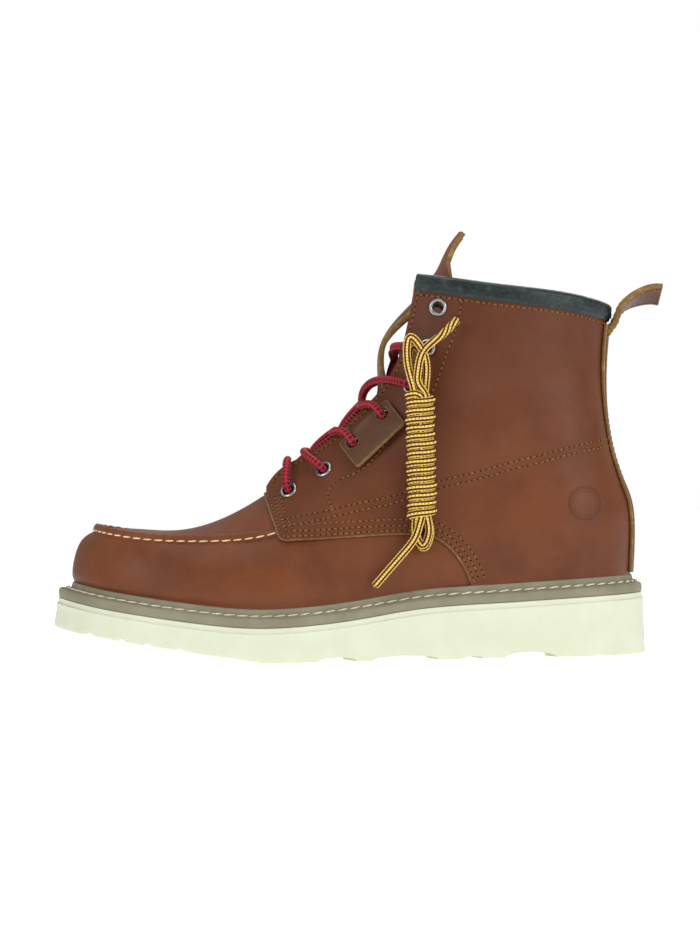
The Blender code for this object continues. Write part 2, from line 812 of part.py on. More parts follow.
def make_upper():
    ribs = upper_ribs()
    low = (0.0, 0.5, 1.0, 1.7, 2.4, 3.0)
    high = (3.5, 4.0, 4.5, 4.75, 5.0)
    outer = [skirt(ribs, 0.0)]
    outer += [skin(ribs, level) for level in low]
    outer += rim_rows(ribs)
    outer += [skin(ribs, level) for level in high]
    inner = [skirt(ribs, -WALL)]
    inner += [offset(ribs, level, -WALL) for level in (0.0, 1.0, 2.0, 3.0, 3.5, 4.0, 4.5, 4.75, 5.0)]
    bm = bmesh.new()
    outer_rows = add_grid(bm, outer, wrap_columns=True)
    inner_rows = add_grid(bm, inner, wrap_columns=True)
    count = len(ribs)
    for j in range(count):
        k = (j + 1) % count
        bm.faces.new((outer_rows[0][j], outer_rows[0][k], inner_rows[0][k], inner_rows[0][j]))
        middle = abs(ribs[j] + ribs[k]) / 2 if k else (abs(ribs[j]) + HEEL) / 2
        if middle > THROAT:
            bm.faces.new((outer_rows[-1][j], outer_rows[-1][k], inner_rows[-1][k], inner_rows[-1][j]))
    upper = object_from(bm, "upper", LEATHER)
    boolean(upper, make_quarter_form(), "UNION")
    boolean(upper, make_eyelet_cutter(), "DIFFERENCE")
    return upper


def make_quarter_form():
    """The quarter: a second layer on the upper, cut off in side view along its own edge."""
    ribs = (ribs_round_heel(THROAT + 0.04) + HEEL) % (2 * HEEL) - HEEL
    levels = (0.0, 0.5, 1.0, 1.7, 2.4, 3.0, 3.5, 4.0, 4.5, 4.75)
    trim = near_top(ribs, 0.0004)
    into = -WALL / 2
    outer = [skirt(ribs, OVERLAY)] + [offset(ribs, v, OVERLAY) for v in (*levels, trim)]
    inner = [skirt(ribs, into)] + [offset(ribs, v, into) for v in (*levels, trim)]
    outer[0][:, 2] += CLEARANCE
    inner[0][:, 2] += CLEARANCE
    bm = bmesh.new()
    add_sheet(bm, np.array(outer), np.array(inner))
    form = object_from(bm, "quarter_form")
    edge = np.array(QUARTER_EDGE)
    x = along_x(edge[:, 0])
    z = edge[:, 1] * HEEL_STACK
    height = sole_top([0.0])[0] + TOE_HEIGHT + 1.3 * SHAFT_RISE
    corners = [(x[0] - 0.0035, height), *zip(x, z), (x[-1], 0.0), (0.06, 0.0), (0.06, height)]
    bm = bmesh.new()
    sections = [np.array([(cx, y, cz) for cx, cz in corners]) for y in (-BALL_WIDTH, BALL_WIDTH)]
    add_sweep(bm, sections)
    boolean(form, object_from(bm, "quarter_region"), "INTERSECT")
    return form


def eyelet_places():
    """For each eyelet pair and side: the rib, the level, the place and the way out."""
    ribs = np.linspace(THROAT + 0.3, CORNER + 0.5, 90)
    levels = near_facing(ribs, EYELET_EDGE)
    ribs, levels = ribs[levels < TOP - 0.001], levels[levels < TOP - 0.001]
    points = skin(ribs, levels)
    steps = np.linalg.norm(np.diff(points, axis=0), axis=1)
    reach = np.concatenate([[0], np.cumsum(steps)])
    places = []
    for pair, distance in enumerate(
        np.linspace(FIRST_EYELET, reach[-1] - LAST_EYELET, EYELET_PAIRS)
    ):
        rib = np.interp(distance, reach, ribs)
        level = np.interp(distance, reach, levels)
        for side in (-1, 1):
            here = (np.array([side * rib]), np.array([level]))
            out = skin_normal(*here)[0]
            places.append((pair, side, skin(*here)[0] + out * OVERLAY, out))
    return places


def turned(profile, place, out, steps=8):
    """Sections of a closed profile of radius and height, turned about the way out."""
    across = unit(np.cross(out, (0.2, 0.9, 0.4)))
    other = np.cross(out, across)
    sections = []
    for turn in np.arange(steps) * 2 * math.pi / steps:
        radial = across * math.cos(turn) + other * math.sin(turn)
        sections.append([place + radial * radius + out * height for radius, height in profile])
    return sections


def make_eyelet_cutter():
    bm = bmesh.new()
    for _, _, place, out in eyelet_places():
        profile = ((HOLE_RADIUS, 0.003), (HOLE_RADIUS, -0.008))
        rows = add_grid(bm, turned(profile, place, out, 8), wrap_rows=True)
        bm.faces.new([row[0] for row in rows])
        bm.faces.new([row[1] for row in rows])
    return object_from(bm, "eyelet_cutter")


def make_eyelets():
    barrel = HOLE_RADIUS - CLEARANCE
    depth = WALL + OVERLAY + 2 * CLEARANCE
    profile = (
        (BORE_RADIUS, -depth),
        (barrel, -depth),
        (barrel, 0.0005),
        (EYELET_RADIUS, 0.0005),
        (BORE_RADIUS + 0.0005, 0.0014),
    )
    names = {-1: "lateral", 1: "medial"}
    for pair, side, place, out in eyelet_places():
        bm = bmesh.new()
        add_grid(bm, turned(profile, place, out), wrap_rows=True, wrap_columns=True)
        object_from(bm, f"eyelet_{names[side]}_{pair + 1}", NICKEL)


def make_binding():
    """A strip of leather folded over the collar's edge, open to the throat at both ends."""
    ribs = ribs_round_heel(CORNER)
    edge = skin(ribs, float(TOP))
    out = skin_normal(ribs, TOP - 0.1)
    down = unit(np.cross(out, np.gradient(edge, axis=0)))
    gap = CLEARANCE + 0.0003
    outer_gap, inner_gap = OVERLAY + gap, WALL + gap + 0.0003
    rise = BINDING_THICK + CLEARANCE
    profile = (
        (outer_gap, BINDING_HEIGHT),
        (outer_gap + BINDING_THICK, BINDING_HEIGHT),
        (outer_gap + BINDING_THICK, 0.0004),
        (outer_gap + BINDING_THICK * 0.3, -rise),
        (-inner_gap - BINDING_THICK * 0.3, -rise),
        (-inner_gap - BINDING_THICK, 0.0004),
        (-inner_gap - BINDING_THICK, BINDING_HEIGHT),
        (-inner_gap, BINDING_HEIGHT),
        (-inner_gap, -CLEARANCE),
        (outer_gap, -CLEARANCE),
    )
    sections = [
        [edge[i] + out[i] * reach + down[i] * drop for reach, drop in profile]
        for i in range(len(ribs))
    ]
    bm = bmesh.new()
    add_sweep(bm, sections)
    return object_from(bm, "collar_binding", DARK_LEATHER)


def make_backstay():
    """A strip down the back of the heel, over the quarters, from the binding to the welt."""
    levels = np.linspace(0.0, 4.72, 15)
    across = np.linspace(-1, 1, 7)
    reach = near_heel_reach(levels)
    ribs = HEEL + np.outer(reach, across)
    grid = np.broadcast_to(levels[:, None], ribs.shape)
    under = OVERLAY + CLEARANCE
    bm = bmesh.new()
    outer = offset(ribs, grid, under + BACKSTAY_THICK)
    inner = offset(ribs, grid, under)
    lift = np.array([0, 0, CLEARANCE + 0.0004])
    outer[0] += lift
    inner[0] += lift
    add_sheet(bm, outer, inner)
    return object_from(bm, "backstay", LEATHER)


def near_heel_reach(levels):
    """How many ribs to each side of the heel's centre the backstay reaches at each level."""
    ribs = np.linspace(HEEL - 2.5, HEEL, 51)
    found = []
    for level in levels:
        points = skin(ribs, np.full(len(ribs), level))
        steps = np.linalg.norm(np.diff(points, axis=0), axis=1)
        to_heel = np.concatenate([np.cumsum(steps[::-1])[::-1], [0]])
        found.append(HEEL - np.interp(-BACKSTAY_WIDTH / 2, -to_heel, ribs))
    return np.array(found)


def tongue_sections(count, across):
    """Points and outward directions of the tongue's outer face, row by row."""
    rows = np.array(TONGUE)
    knots = np.arange(len(rows))
    at = np.linspace(0, len(rows) - 1, count)
    path = spline(knots, rows[:, :2], at)
    x = along_x(path[:, 0])
    z = sole_top(x) + TOE_HEIGHT + path[:, 1] * SHAFT_RISE
    centre = np.column_stack([x, ridge_y(x), z])
    ahead = unit(np.gradient(centre, axis=0))
    side = np.array([0.0, 1.0, 0.0])
    out = unit(np.cross(side, ahead)) * -1
    width = np.interp(at, knots, rows[:, 2]) * THROAT_GAP
    crown = np.interp(at, knots, rows[:, 3]) * THROAT_GAP
    outer, inner = [], []
    for i in range(count):
        y = across * width[i]
        set_back = crown[i] * across**2
        face = centre[i] + np.outer(y, side) - np.outer(set_back, out[i])
        slope = np.cross(unit(np.gradient(face, axis=0)), ahead[i])
        slope = unit(slope * np.sign((slope @ out[i]))[:, None])
        outer.append(face)
        inner.append(face - slope * TONGUE_THICK)
    return np.array(outer), np.array(inner)


def make_tongue():
    outer, inner = tongue_sections(21, np.linspace(-1, 1, 7))
    bm = bmesh.new()
    add_sheet(bm, outer, inner)
    return object_from(bm, "tongue", LEATHER)


def make_pull_loop():
    """A strap folded double, sewn in under the backstay's top, that stands out behind."""
    back = skin(np.array([float(HEEL)]), np.array([float(TOP)]))[0]
    rows = np.array(PULL_LOOP)
    found = spline(np.arange(len(rows)), rows, np.linspace(0, len(rows) - 1, 9))
    base = OVERLAY + BINDING_THICK
    centre = np.column_stack([back[0] + base + found[:, 0], 0 * found[:, 0], back[2] + found[:, 1]])
    ahead = unit(np.gradient(centre, axis=0))
    sections = []
    for point, direction, twist in zip(centre, ahead, np.radians(found[:, 2])):
        flat = Vector((0, 1, 0))
        across = np.array(Matrix.Rotation(-twist, 3, Vector(direction)) @ flat)
        normal = np.cross(direction, across)
        half_wide, half_thick = across * LOOP_WIDTH / 2, normal * LOOP_THICK / 2
        sections.append(
            [
                point - half_wide - half_thick,
                point + half_wide - half_thick,
                point + half_wide + half_thick,
                point - half_wide + half_thick,
            ]
        )
    bm = bmesh.new()
    add_sweep(bm, sections)
    return object_from(bm, "pull_loop", LEATHER)


# Lacing
def make_laces():
    """A bar over the lowest pair, then crossings that come up from under each facing."""
    places = {(pair, side): (place, out) for pair, side, place, out in eyelet_places()}
    edges = {key: edge_point(key, places) for key in places}
    crown = [lace_crown(row) for row in LACE_CROWN]
    bar = [*over_facing(0, -1, places, edges), crown[0], *over_facing(0, 1, places, edges)[::-1]]
    bm = bmesh.new()
    add_sweep(bm, tube(smooth_route(bar, 17), LACE))
    object_from(bm, "lace_bar", RED_LACE)
    for pair in range(EYELET_PAIRS - 2):
        strands = []
        for side in (-1, 1):
            place, out = places[pair, side]
            route = [
                place - out * (WALL + OVERLAY + LACE / 2 + 0.0012),
                under_edge(edges[pair, side]),
                crown[pair + 1],
                *over_facing(pair + 1, -side, places, edges)[::-1],
            ]
            bm = bmesh.new()
            add_sweep(bm, tube(smooth_route(route, 12), LACE))
            name = f"lace_crossing_{pair + 1}"
            strands.append(object_from(bm, name, RED_LACE if side < 0 else None))
        boolean(strands[0], strands[1], "UNION")


def lace_crown(row):
    x = along_x(row[0])
    return np.array([x, ridge_y(x), sole_top([x])[0] + TOE_HEIGHT + row[1] * SHAFT_RISE])


def under_patch(pair, side):
    return side < 0 and pair in PATCH_PAIRS


def over_facing(pair, side, places, edges):
    """From inside an eyelet's bore over its flange, and over the patch if it lies there."""
    place, out = places[pair, side]
    edge, edge_out, to_throat = edges[pair, side]
    route = [place - out * 0.0022]
    if under_patch(pair, side):
        route.append(place + out * (PATCH_LIFT + PATCH_THICK + 0.0012))
        route.append(place + out * (PATCH_LIFT + PATCH_THICK + LACE / 2 + 0.0012) + to_throat * 0.0062)
    else:
        route.append(place + out * 0.0016)
    route.append(edge + edge_out * (OVERLAY + LACE / 2 + 0.0005) + to_throat * 0.0005)
    return route


def edge_point(key, places):
    """The facing's edge above an eyelet: the point, its way out and its way to the throat."""
    pair, side = key
    place = places[key][0]
    ribs = side * np.linspace(THROAT, CORNER, 120)
    points = skin(ribs, np.full(len(ribs), float(TOP)))
    nearest = int(np.argmin(np.linalg.norm(points - place, axis=1)))
    out = skin_normal(ribs[nearest : nearest + 1], np.array([TOP - 0.1]))[0]
    point = points[nearest]
    to_throat = unit(point - place)
    return point, out, to_throat


def under_edge(edge):
    point, out, to_throat = edge
    return point - out * (WALL + LACE / 2 + 0.0010) - to_throat * 0.0015


def make_patch():
    """A plain leather label held by the lace over two lateral eyelets."""
    places = [(place, out) for pair, side, place, out in eyelet_places() if under_patch(pair, side)]
    middle = (places[0][0] + places[1][0]) / 2
    out = unit(places[0][1] + places[1][1])
    length = unit(places[1][0] - places[0][0])
    out = unit(out - length * np.dot(out, length))
    width = np.cross(out, length)
    centre = middle + out * (PATCH_LIFT + PATCH_THICK / 2)
    frame = Matrix((length, width, out)).transposed().to_4x4()
    frame.translation = Vector(centre - width * PATCH_DROP * np.sign(width[2]))
    bm = bmesh.new()
    bmesh.ops.create_cube(bm, size=1.0)
    bmesh.ops.transform(
        bm, matrix=Matrix.Diagonal((PATCH_LENGTH, PATCH_WIDTH, PATCH_THICK, 1)), verts=bm.verts
    )
    bmesh.ops.transform(bm, matrix=frame, verts=bm.verts)
    patch = object_from(bm, "lace_patch", LEATHER)
    bm = bmesh.new()
    for place, _ in places:
        profile = ((HOLE_RADIUS, 0.009), (HOLE_RADIUS, -0.004))
        rows = add_grid(bm, turned(profile, place, out, 10), wrap_rows=True)
        bm.faces.new([row[0] for row in rows])
        bm.faces.new([row[1] for row in rows])
    boolean(patch, object_from(bm, "patch_cutter"), "DIFFERENCE")
    return patch


def make_spare_lace():
    """The wrapped middle of the hank, then its loops and its two free ends."""
    top, low, turn = 0.1370, 0.0690, 0.0030
    x, y = along_x(HANK_PLACE[0]), -HANK_PLACE[1]
    across, deep = HANK_WIDTH / 2, HANK_DEPTH / 2
    corners = [(1, 0.5), (0.5, 1), (-0.5, 1), (-1, 0.5), (-1, -0.5), (-0.5, -1), (0.5, -1), (1, -0.5)]
    sections = []
    for z, shrink in ((low, 0.75), (low + turn, 1.0), (top - turn, 1.0), (top, 0.75)):
        sections.append([(x + a * across * shrink, y + b * deep * shrink, z) for a, b in corners])
    bm = bmesh.new()
    add_sweep(bm, sections)
    object_from(bm, "spare_lace_hank", YELLOW_LACE)
    for name, rows in SPARE_CORDS.items():
        route = [(along_x(along), -out, height) for along, out, height in rows]
        bm = bmesh.new()
        add_sweep(bm, tube(smooth_route(route, 4 * len(rows) - 5), SPARE_LACE))
        object_from(bm, name, YELLOW_LACE)


clear_scene()
PARTS = new_collection("wedge_sole_work_boot")
CUTTERS = new_collection("cutters")
CUTTERS.hide_render = True
LEATHER = material("oiled_leather", (0.165, 0.055, 0.025), 0.45)
DARK_LEATHER = material("dark_leather", (0.016, 0.035, 0.035), 0.40)
TAN = material("tan_leather", (0.40, 0.22, 0.10), 0.70)
WELT_GREY = material("taupe_rubber", (0.33, 0.28, 0.21), 0.60)
SOLE_CREAM = material("cream_rubber", (0.76, 0.79, 0.63), 0.60)
NICKEL = material("nickel", (0.62, 0.64, 0.62), 0.25, 1.0)
RED_LACE = material("red_lace", (0.42, 0.02, 0.03), 0.75)
YELLOW_LACE = material("yellow_lace", (0.72, 0.45, 0.07), 0.75)

make_outsole()
make_welt()
make_insole()
make_upper()
make_binding()
make_backstay()
make_tongue()
make_pull_loop()
make_eyelets()
make_laces()
make_patch()
make_spare_lace()
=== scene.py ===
"""Looks of the left wedge sole work boot, drawn over the CAD frame.

The toe points to -X, the lateral side to -Y and up is +Z, in metres. Ribs run from the welt
to the top edge and levels run round the upper, both numbered as in the CAD part.
"""

import math

import bmesh
import bpy
import numpy as np
from mathutils import Matrix, Vector


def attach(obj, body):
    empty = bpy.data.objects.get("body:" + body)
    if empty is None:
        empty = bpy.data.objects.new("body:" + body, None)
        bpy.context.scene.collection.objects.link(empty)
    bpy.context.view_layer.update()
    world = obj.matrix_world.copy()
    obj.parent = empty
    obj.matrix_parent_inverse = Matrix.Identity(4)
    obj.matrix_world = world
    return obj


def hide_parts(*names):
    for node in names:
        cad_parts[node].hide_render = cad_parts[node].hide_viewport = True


# Driving sizes
SOLE_LENGTH = 0.2975  # along the top edge of the outsole
BALL_WIDTH = 0.107
HEEL_WIDTH = 0.078
BALL_STACK = 0.0172  # outsole under the ball
HEEL_STACK = 0.0297  # outsole under the heel
TOE_SPRING = 0.016
TOE_HEIGHT = 0.037  # from the outsole's top to the toe seam
SHAFT_RISE = 0.130  # from the toe seam's height to the front of the collar
SHAFT_WIDTH = 0.0675
THROAT_GAP = 0.054  # between the facings at the collar
WALL = 0.0022
OVERLAY = 0.0014
CLEARANCE = 0.0003

# Sole
SOLE_FLARE = 0.0012
TOE_FLARE = 0.0014
SOLE_CHAMFER = 0.0012
LEDGE_DROP = 0.0032
LEDGE_STEP = 0.0006
GROOVE_WAVE = 0.0035
WELT_REACH = 0.0080  # from the edge of the sole to the upper at the toe
WELT_THICK = 0.0048
LIP_HEIGHT = 0.0093
LIP_THICK = 0.0011
WELT_SHELF = 0.0046  # how far the welt goes in under the upper

# Upper
FEATHER_HEIGHT = WELT_THICK + CLEARANCE
SKIRT_TOP = LIP_HEIGHT + 0.0004
RIM_HEIGHT = 0.0034
RIM_THICK = 0.0028
BINDING_HEIGHT = 0.0080
BINDING_THICK = 0.0010
BACKSTAY_WIDTH = 0.0190
BACKSTAY_THICK = 0.0016
TONGUE_THICK = 0.0026
LOOP_WIDTH = 0.0170
LOOP_THICK = 0.0030

# Lacing
EYELET_PAIRS = 7
EYELET_EDGE = 0.0138  # from the facing's edge
FIRST_EYELET = 0.0066  # along the eyelet line, from the bottom end of the throat
LAST_EYELET = 0.0150  # along the eyelet line, from the collar
EYELET_RADIUS = 0.0046
BORE_RADIUS = 0.0028
HOLE_RADIUS = 0.0036
LACE = 0.0034  # diameter
PATCH_LENGTH = 0.0330
PATCH_WIDTH = 0.0195
PATCH_THICK = 0.0020
PATCH_LIFT = 0.0022  # above the quarter, so that it clears the eyelets' flanges
PATCH_DROP = 0.0045  # from the eyelets' line down to the patch's middle
PATCH_PAIRS = (2, 3)

# Spare lace, wound into a hank that hangs on the lateral side
SPARE_LACE = 0.0038
HANK_WIDTH = 0.0150
HANK_DEPTH = 0.0110

TOE_X = -0.9 * SOLE_LENGTH
TOP = 5
SEAM_LEVEL = 3
THROAT = 5  # the rib at the bottom end of the throat
CORNER = 9  # the rib at the front corner of the collar
HEEL = 12

# rib 0 to 12: along the sole, then half widths as shares of the sole's half width there
OUTLINE = (  # along, lateral, medial
    (0.000, -0.093, 0.093),
    (0.018, 0.308, 0.477),
    (0.067, 0.658, 0.738),
    (0.150, 0.907, 0.897),
    (0.260, 1.028, 0.959),
    (0.360, 1.052, 0.912),
    (0.460, 1.037, 0.841),
    (0.555, 1.044, 0.826),
    (0.650, 1.070, 0.874),
    (0.755, 1.059, 0.941),
    (0.875, 0.974, 0.936),
    (0.962, 0.662, 0.667),
    (1.000, 0.000, 0.000),
)

SOLE_TOP = (  # along, share of the toe spring, share of the heel's extra stack
    (0.000, 1.000, 0.00),
    (0.075, 0.694, 0.00),
    (0.144, 0.469, 0.00),
    (0.211, 0.275, 0.00),
    (0.282, 0.100, 0.00),
    (0.345, 0.010, 0.00),
    (0.400, 0.000, 0.03),
    (0.470, 0.000, 0.16),
    (0.534, 0.000, 0.36),
    (0.600, 0.000, 0.60),
    (0.670, 0.000, 0.745),
    (0.755, 0.000, 0.83),
    (0.853, 0.000, 0.94),
    (1.000, 0.000, 1.10),
)

SOLE_BOTTOM = (  # along, share of the toe spring
    (-0.010, 1.150),
    (0.033, 0.975),
    (0.075, 0.850),
    (0.120, 0.700),
    (0.160, 0.580),
    (0.208, 0.440),
    (0.255, 0.294),
    (0.315, 0.130),
    (0.355, 0.000),
    (0.430, 0.000),
)

GROOVES = (  # from, to, depth in metres: the hollows across the tread
    (0.055, 0.068, 0.0013),
    (0.108, 0.120, 0.0011),
    (0.150, 0.162, 0.0010),
    (0.205, 0.216, 0.0009),
    (0.434, 0.498, 0.0023),
    (0.525, 0.640, 0.0023),
    (0.680, 0.716, 0.0013),
    (0.752, 0.842, 0.0029),
)

# rib 0 to 12: how far the upper lies inside the sole's edge, as shares of WELT_REACH, and
# heights above the outsole as shares of TOE_HEIGHT
SIDE = (  # lip inset, bulge inset, bulge height, shoulder inset, shoulder height
    (1.00, 0.88, 0.35, 1.34, 0.78),
    (1.00, 0.88, 0.35, 1.33, 0.77),
    (0.95, 0.82, 0.35, 1.25, 0.76),
    (0.85, 0.68, 0.35, 0.97, 0.75),
    (0.80, 0.60, 0.38, 0.95, 0.76),
    (0.78, 0.60, 0.41, 1.00, 0.81),
    (0.78, 0.65, 0.46, 1.00, 0.92),
    (0.78, 0.70, 0.54, 1.00, 1.03),
    (0.80, 0.70, 0.62, 0.90, 1.14),
    (0.85, 0.68, 0.70, 0.75, 1.24),
    (0.88, 0.62, 0.78, 0.72, 1.35),
    (0.90, 0.70, 0.84, 1.02, 1.40),
    (0.91, 0.79, 0.89, 1.28, 1.46),
)

# rib 0 to 12: along the sole, half widths as above, rise as a share of SHAFT_RISE
SEAM = (  # along, lateral, medial, rise
    (0.062, -0.086, 0.086, 0.000),
    (0.073, 0.215, 0.374, 0.000),
    (0.105, 0.495, 0.589, 0.000),
    (0.171, 0.664, 0.692, 0.004),
    (0.265, 0.710, 0.682, 0.027),
    (0.359, 0.720, 0.636, 0.061),
    (0.453, 0.753, 0.646, 0.118),
    (0.547, 0.811, 0.692, 0.174),
    (0.638, 0.865, 0.761, 0.224),
    (0.732, 0.879, 0.821, 0.276),
    (0.833, 0.833, 0.795, 0.302),
    (0.922, 0.551, 0.538, 0.292),
    (0.945, 0.000, 0.000, 0.274),
)

INSTEP = (  # along, lateral, medial, rise
    (0.097, -0.080, 0.080, 0.028),
    (0.108, 0.065, 0.222, 0.030),
    (0.140, 0.233, 0.336, 0.034),
    (0.197, 0.336, 0.374, 0.045),
    (0.275, 0.383, 0.374, 0.090),
    (0.358, 0.383, 0.346, 0.160),
    (0.446, 0.450, 0.401, 0.250),
    (0.541, 0.600, 0.535, 0.354),
    (0.625, 0.765, 0.692, 0.489),
    (0.692, 0.872, 0.812, 0.641),
    (0.796, 0.892, 0.848, 0.645),
    (0.897, 0.577, 0.564, 0.611),
    (0.935, 0.000, 0.000, 0.565),
)

RIDGE = (  # rib, along, rise: where the two sides meet in front of the throat
    (0, 0.134, 0.036),
    (1, 0.144, 0.038),
    (2, 0.172, 0.044),
    (3, 0.218, 0.062),
    (4, 0.283, 0.122),
    (5, 0.356, 0.222),
)

FACING = (  # rib, along, rise, half gap as a share of THROAT_GAP
    (5.00, 0.356, 0.222, 0.000),
    (5.12, 0.365, 0.258, 0.095),
    (5.30, 0.378, 0.300, 0.141),
    (6.00, 0.438, 0.373, 0.177),
    (7.00, 0.529, 0.515, 0.250),
    (8.00, 0.590, 0.684, 0.360),
    (9.00, 0.624, 1.000, 0.500),
)

COLLAR = (  # rib, along, rise, half width as a share of SHAFT_WIDTH
    (9, 0.624, 1.000, 0.400),
    (10, 0.752, 0.941, 0.498),
    (11, 0.884, 0.884, 0.400),
    (12, 0.947, 0.842, 0.000),
)

# The quarter's lower edge in side view: along, height above the floor as a share of HEEL_STACK
QUARTER_EDGE = (
    (0.3600, 2.82),
    (0.3700, 2.44),
    (0.3790, 2.20),
    (0.3860, 2.06),
    (0.3970, 2.02),
    (0.5160, 2.09),
    (0.6010, 2.11),
    (0.6500, 2.01),
    (0.6720, 1.84),
    (0.6900, 1.60),
    (0.7010, 1.36),
    (0.7040, 1.10),
)

TONGUE = (  # along, rise, half width and crown as shares of THROAT_GAP
    (0.336, 0.106, 0.240, 0.155),
    (0.368, 0.166, 0.265, 0.174),
    (0.407, 0.238, 0.278, 0.192),
    (0.452, 0.304, 0.282, 0.215),
    (0.498, 0.378, 0.248, 0.232),
    (0.534, 0.468, 0.222, 0.205),
    (0.552, 0.575, 0.220, 0.060),
    (0.553, 0.670, 0.220, 0.020),
    (0.560, 0.768, 0.222, 0.006),
    (0.587, 0.850, 0.300, 0.040),
    (0.617, 0.912, 0.370, 0.068),
    (0.637, 0.965, 0.445, 0.185),
    (0.648, 0.995, 0.465, 0.260),
    (0.657, 1.022, 0.435, 0.130),
    (0.665, 1.056, 0.398, 0.046),
    (0.679, 1.116, 0.389, 0.033),
    (0.6975, 1.168, 0.343, 0.022),
)

# Where each lace crosses the middle: the bar over the lowest pair, then the crossings
LACE_CROWN = (  # along, rise
    (0.394, 0.336),
    (0.432, 0.366),
    (0.479, 0.445),
    (0.521, 0.529),
    (0.528, 0.613),
    (0.5825, 0.684),
)

PULL_LOOP = (  # back of the collar, height above it, twist in degrees
    (0.0018, -0.0085, 0.0),
    (0.0044, -0.0028, 5.0),
    (0.0090, 0.0015, 13.0),
    (0.0150, 0.0042, 21.0),
    (0.0210, 0.0055, 27.0),
    (0.0256, 0.0052, 30.0),
)

HANK_PLACE = (0.6230, 0.0449)  # along, out from the side
SPARE_CORDS = {  # along, out from the side, height
    "spare_lace_top_end": (
        (0.6200, 0.0471, 0.1378),
        (0.6200, 0.0474, 0.1440),
        (0.6280, 0.0469, 0.1530),
        (0.6580, 0.0434, 0.1610),
        (0.6880, 0.0409, 0.1695),
    ),
    "spare_lace_top_loop": (
        (0.6110, 0.0429, 0.1378),
        (0.6020, 0.0429, 0.1530),
        (0.6090, 0.0429, 0.1610),
        (0.6230, 0.0429, 0.1570),
        (0.6330, 0.0429, 0.1378),
    ),
    "spare_lace_low_loop": (
        (0.6330, 0.0429, 0.0682),
        (0.6320, 0.0429, 0.0610),
        (0.6230, 0.0429, 0.0570),
        (0.6140, 0.0429, 0.0610),
        (0.6120, 0.0429, 0.0682),
    ),
    "spare_lace_low_end": (
        (0.6190, 0.0471, 0.0682),
        (0.6120, 0.0476, 0.0620),
        (0.5920, 0.0489, 0.0540),
        (0.5630, 0.0499, 0.0445),
        (0.5420, 0.0504, 0.0375),
    ),
}


# Curves
def spline(knots, rows, at, closed=False):
    """The cubic through the rows, natural at its ends or closed on itself."""
    knots, rows, at = (np.asarray(v, float) for v in (knots, rows, at))
    gaps = np.diff(knots)
    last = len(gaps)
    slopes = np.diff(rows, axis=0) / gaps[:, None]
    matrix = np.eye(last + 1)
    right = np.zeros((last + 1, rows.shape[1]))
    for i in range(1, last):
        matrix[i, i - 1 : i + 2] = gaps[i - 1], 2 * (gaps[i - 1] + gaps[i]), gaps[i]
        right[i] = 6 * (slopes[i] - slopes[i - 1])
    if closed:
        matrix[0, [0, 1, last - 1]] = 2 * (gaps[-1] + gaps[0]), gaps[0], gaps[-1]
        right[0] = 6 * (slopes[0] - slopes[-1])
        matrix[last, 0] = -1
    bends = np.linalg.solve(matrix, right)
    i = np.clip(np.searchsorted(knots, at, side="right") - 1, 0, last - 1)
    gap = gaps[i][:, None]
    after = (at - knots[i])[:, None]
    before = gap - after
    return (
        (bends[i] * before**3 + bends[i + 1] * after**3) / (6 * gap)
        + (rows[i] / gap - bends[i] * gap / 6) * before
        + (rows[i + 1] / gap - bends[i + 1] * gap / 6) * after
    )


def ease(value, start, end):
    """0 before start, 1 after end, smooth between."""
    share = np.clip((np.asarray(value, float) - start) / (end - start), 0, 1)
    return share * share * (3 - 2 * share)


def unit(vectors):
    return vectors / np.linalg.norm(vectors, axis=-1, keepdims=True)


def run_lengths(points):
    """The distance along the points, from the first to each."""
    return np.concatenate([[0], np.cumsum(np.linalg.norm(np.diff(points, axis=0), axis=1))])


def table_at(table, values, column):
    rows = np.array(table)
    return np.interp(values, rows[:, 0], rows[:, column])


def along_x(along):
    return TOE_X + np.asarray(along, float) * SOLE_LENGTH


def x_along(x):
    return (np.asarray(x, float) - TOE_X) / SOLE_LENGTH


def half_width(along):
    """Half the sole's nominal width, from the ball's to the heel's."""
    share = ease(along, 0.36, 0.75)
    return (BALL_WIDTH * (1 - share) + HEEL_WIDTH * share) / 2


def sole_top(x):
    knots = np.array(SOLE_TOP)
    shares = spline(knots[:, 0], knots[:, 1:], np.clip(x_along(x), 0, 1))
    return BALL_STACK + shares[:, 0] * TOE_SPRING + shares[:, 1] * (HEEL_STACK - BALL_STACK)


def sole_bottom(x):
    knots = np.array(SOLE_BOTTOM)
    at = np.clip(x_along(x), knots[0, 0], knots[-1, 0])
    return np.maximum(spline(knots[:, 0], knots[:, 1:], at)[:, 0], 0) * TOE_SPRING


def both_sides(rows, lateral, medial):
    """Rows of ribs 0 to 12 laid out for ribs -12 to 12, with y from the two half widths."""
    rows = np.asarray(rows, float)
    lateral_side = np.column_stack([rows, -np.asarray(lateral)])[:0:-1]
    medial_side = np.column_stack([rows, np.asarray(medial)])
    return np.vstack([lateral_side, medial_side])


RIBS = np.arange(-HEEL, HEEL + 1)


def outline(ribs, inset=0.0):
    """Points of the sole's top edge in plan, moved in by inset."""
    table = np.array(OUTLINE)
    width = half_width(table[:, 0])
    rows = both_sides(along_x(table[:, 0]), table[:, 1] * width, table[:, 2] * width)
    point = spline(RIBS, rows, ribs, closed=True)
    step = 1e-3
    wrapped = (np.asarray(ribs) + step + HEEL) % (2 * HEEL) - HEEL
    heading = unit(spline(RIBS, rows, wrapped, closed=True) - point)
    inward = np.column_stack([heading[:, 1], -heading[:, 0]])
    return point + inward * np.broadcast_to(inset, len(point))[:, None]


def cover(ribs):
    """1 where the quarter lies on the vamp down at the welt, 0 in front of it."""
    return ease(np.abs(ribs), 8.0, 8.4)


def side_column(ribs, column):
    return table_at([(i, *row) for i, row in enumerate(SIDE)], np.abs(ribs), column + 1)


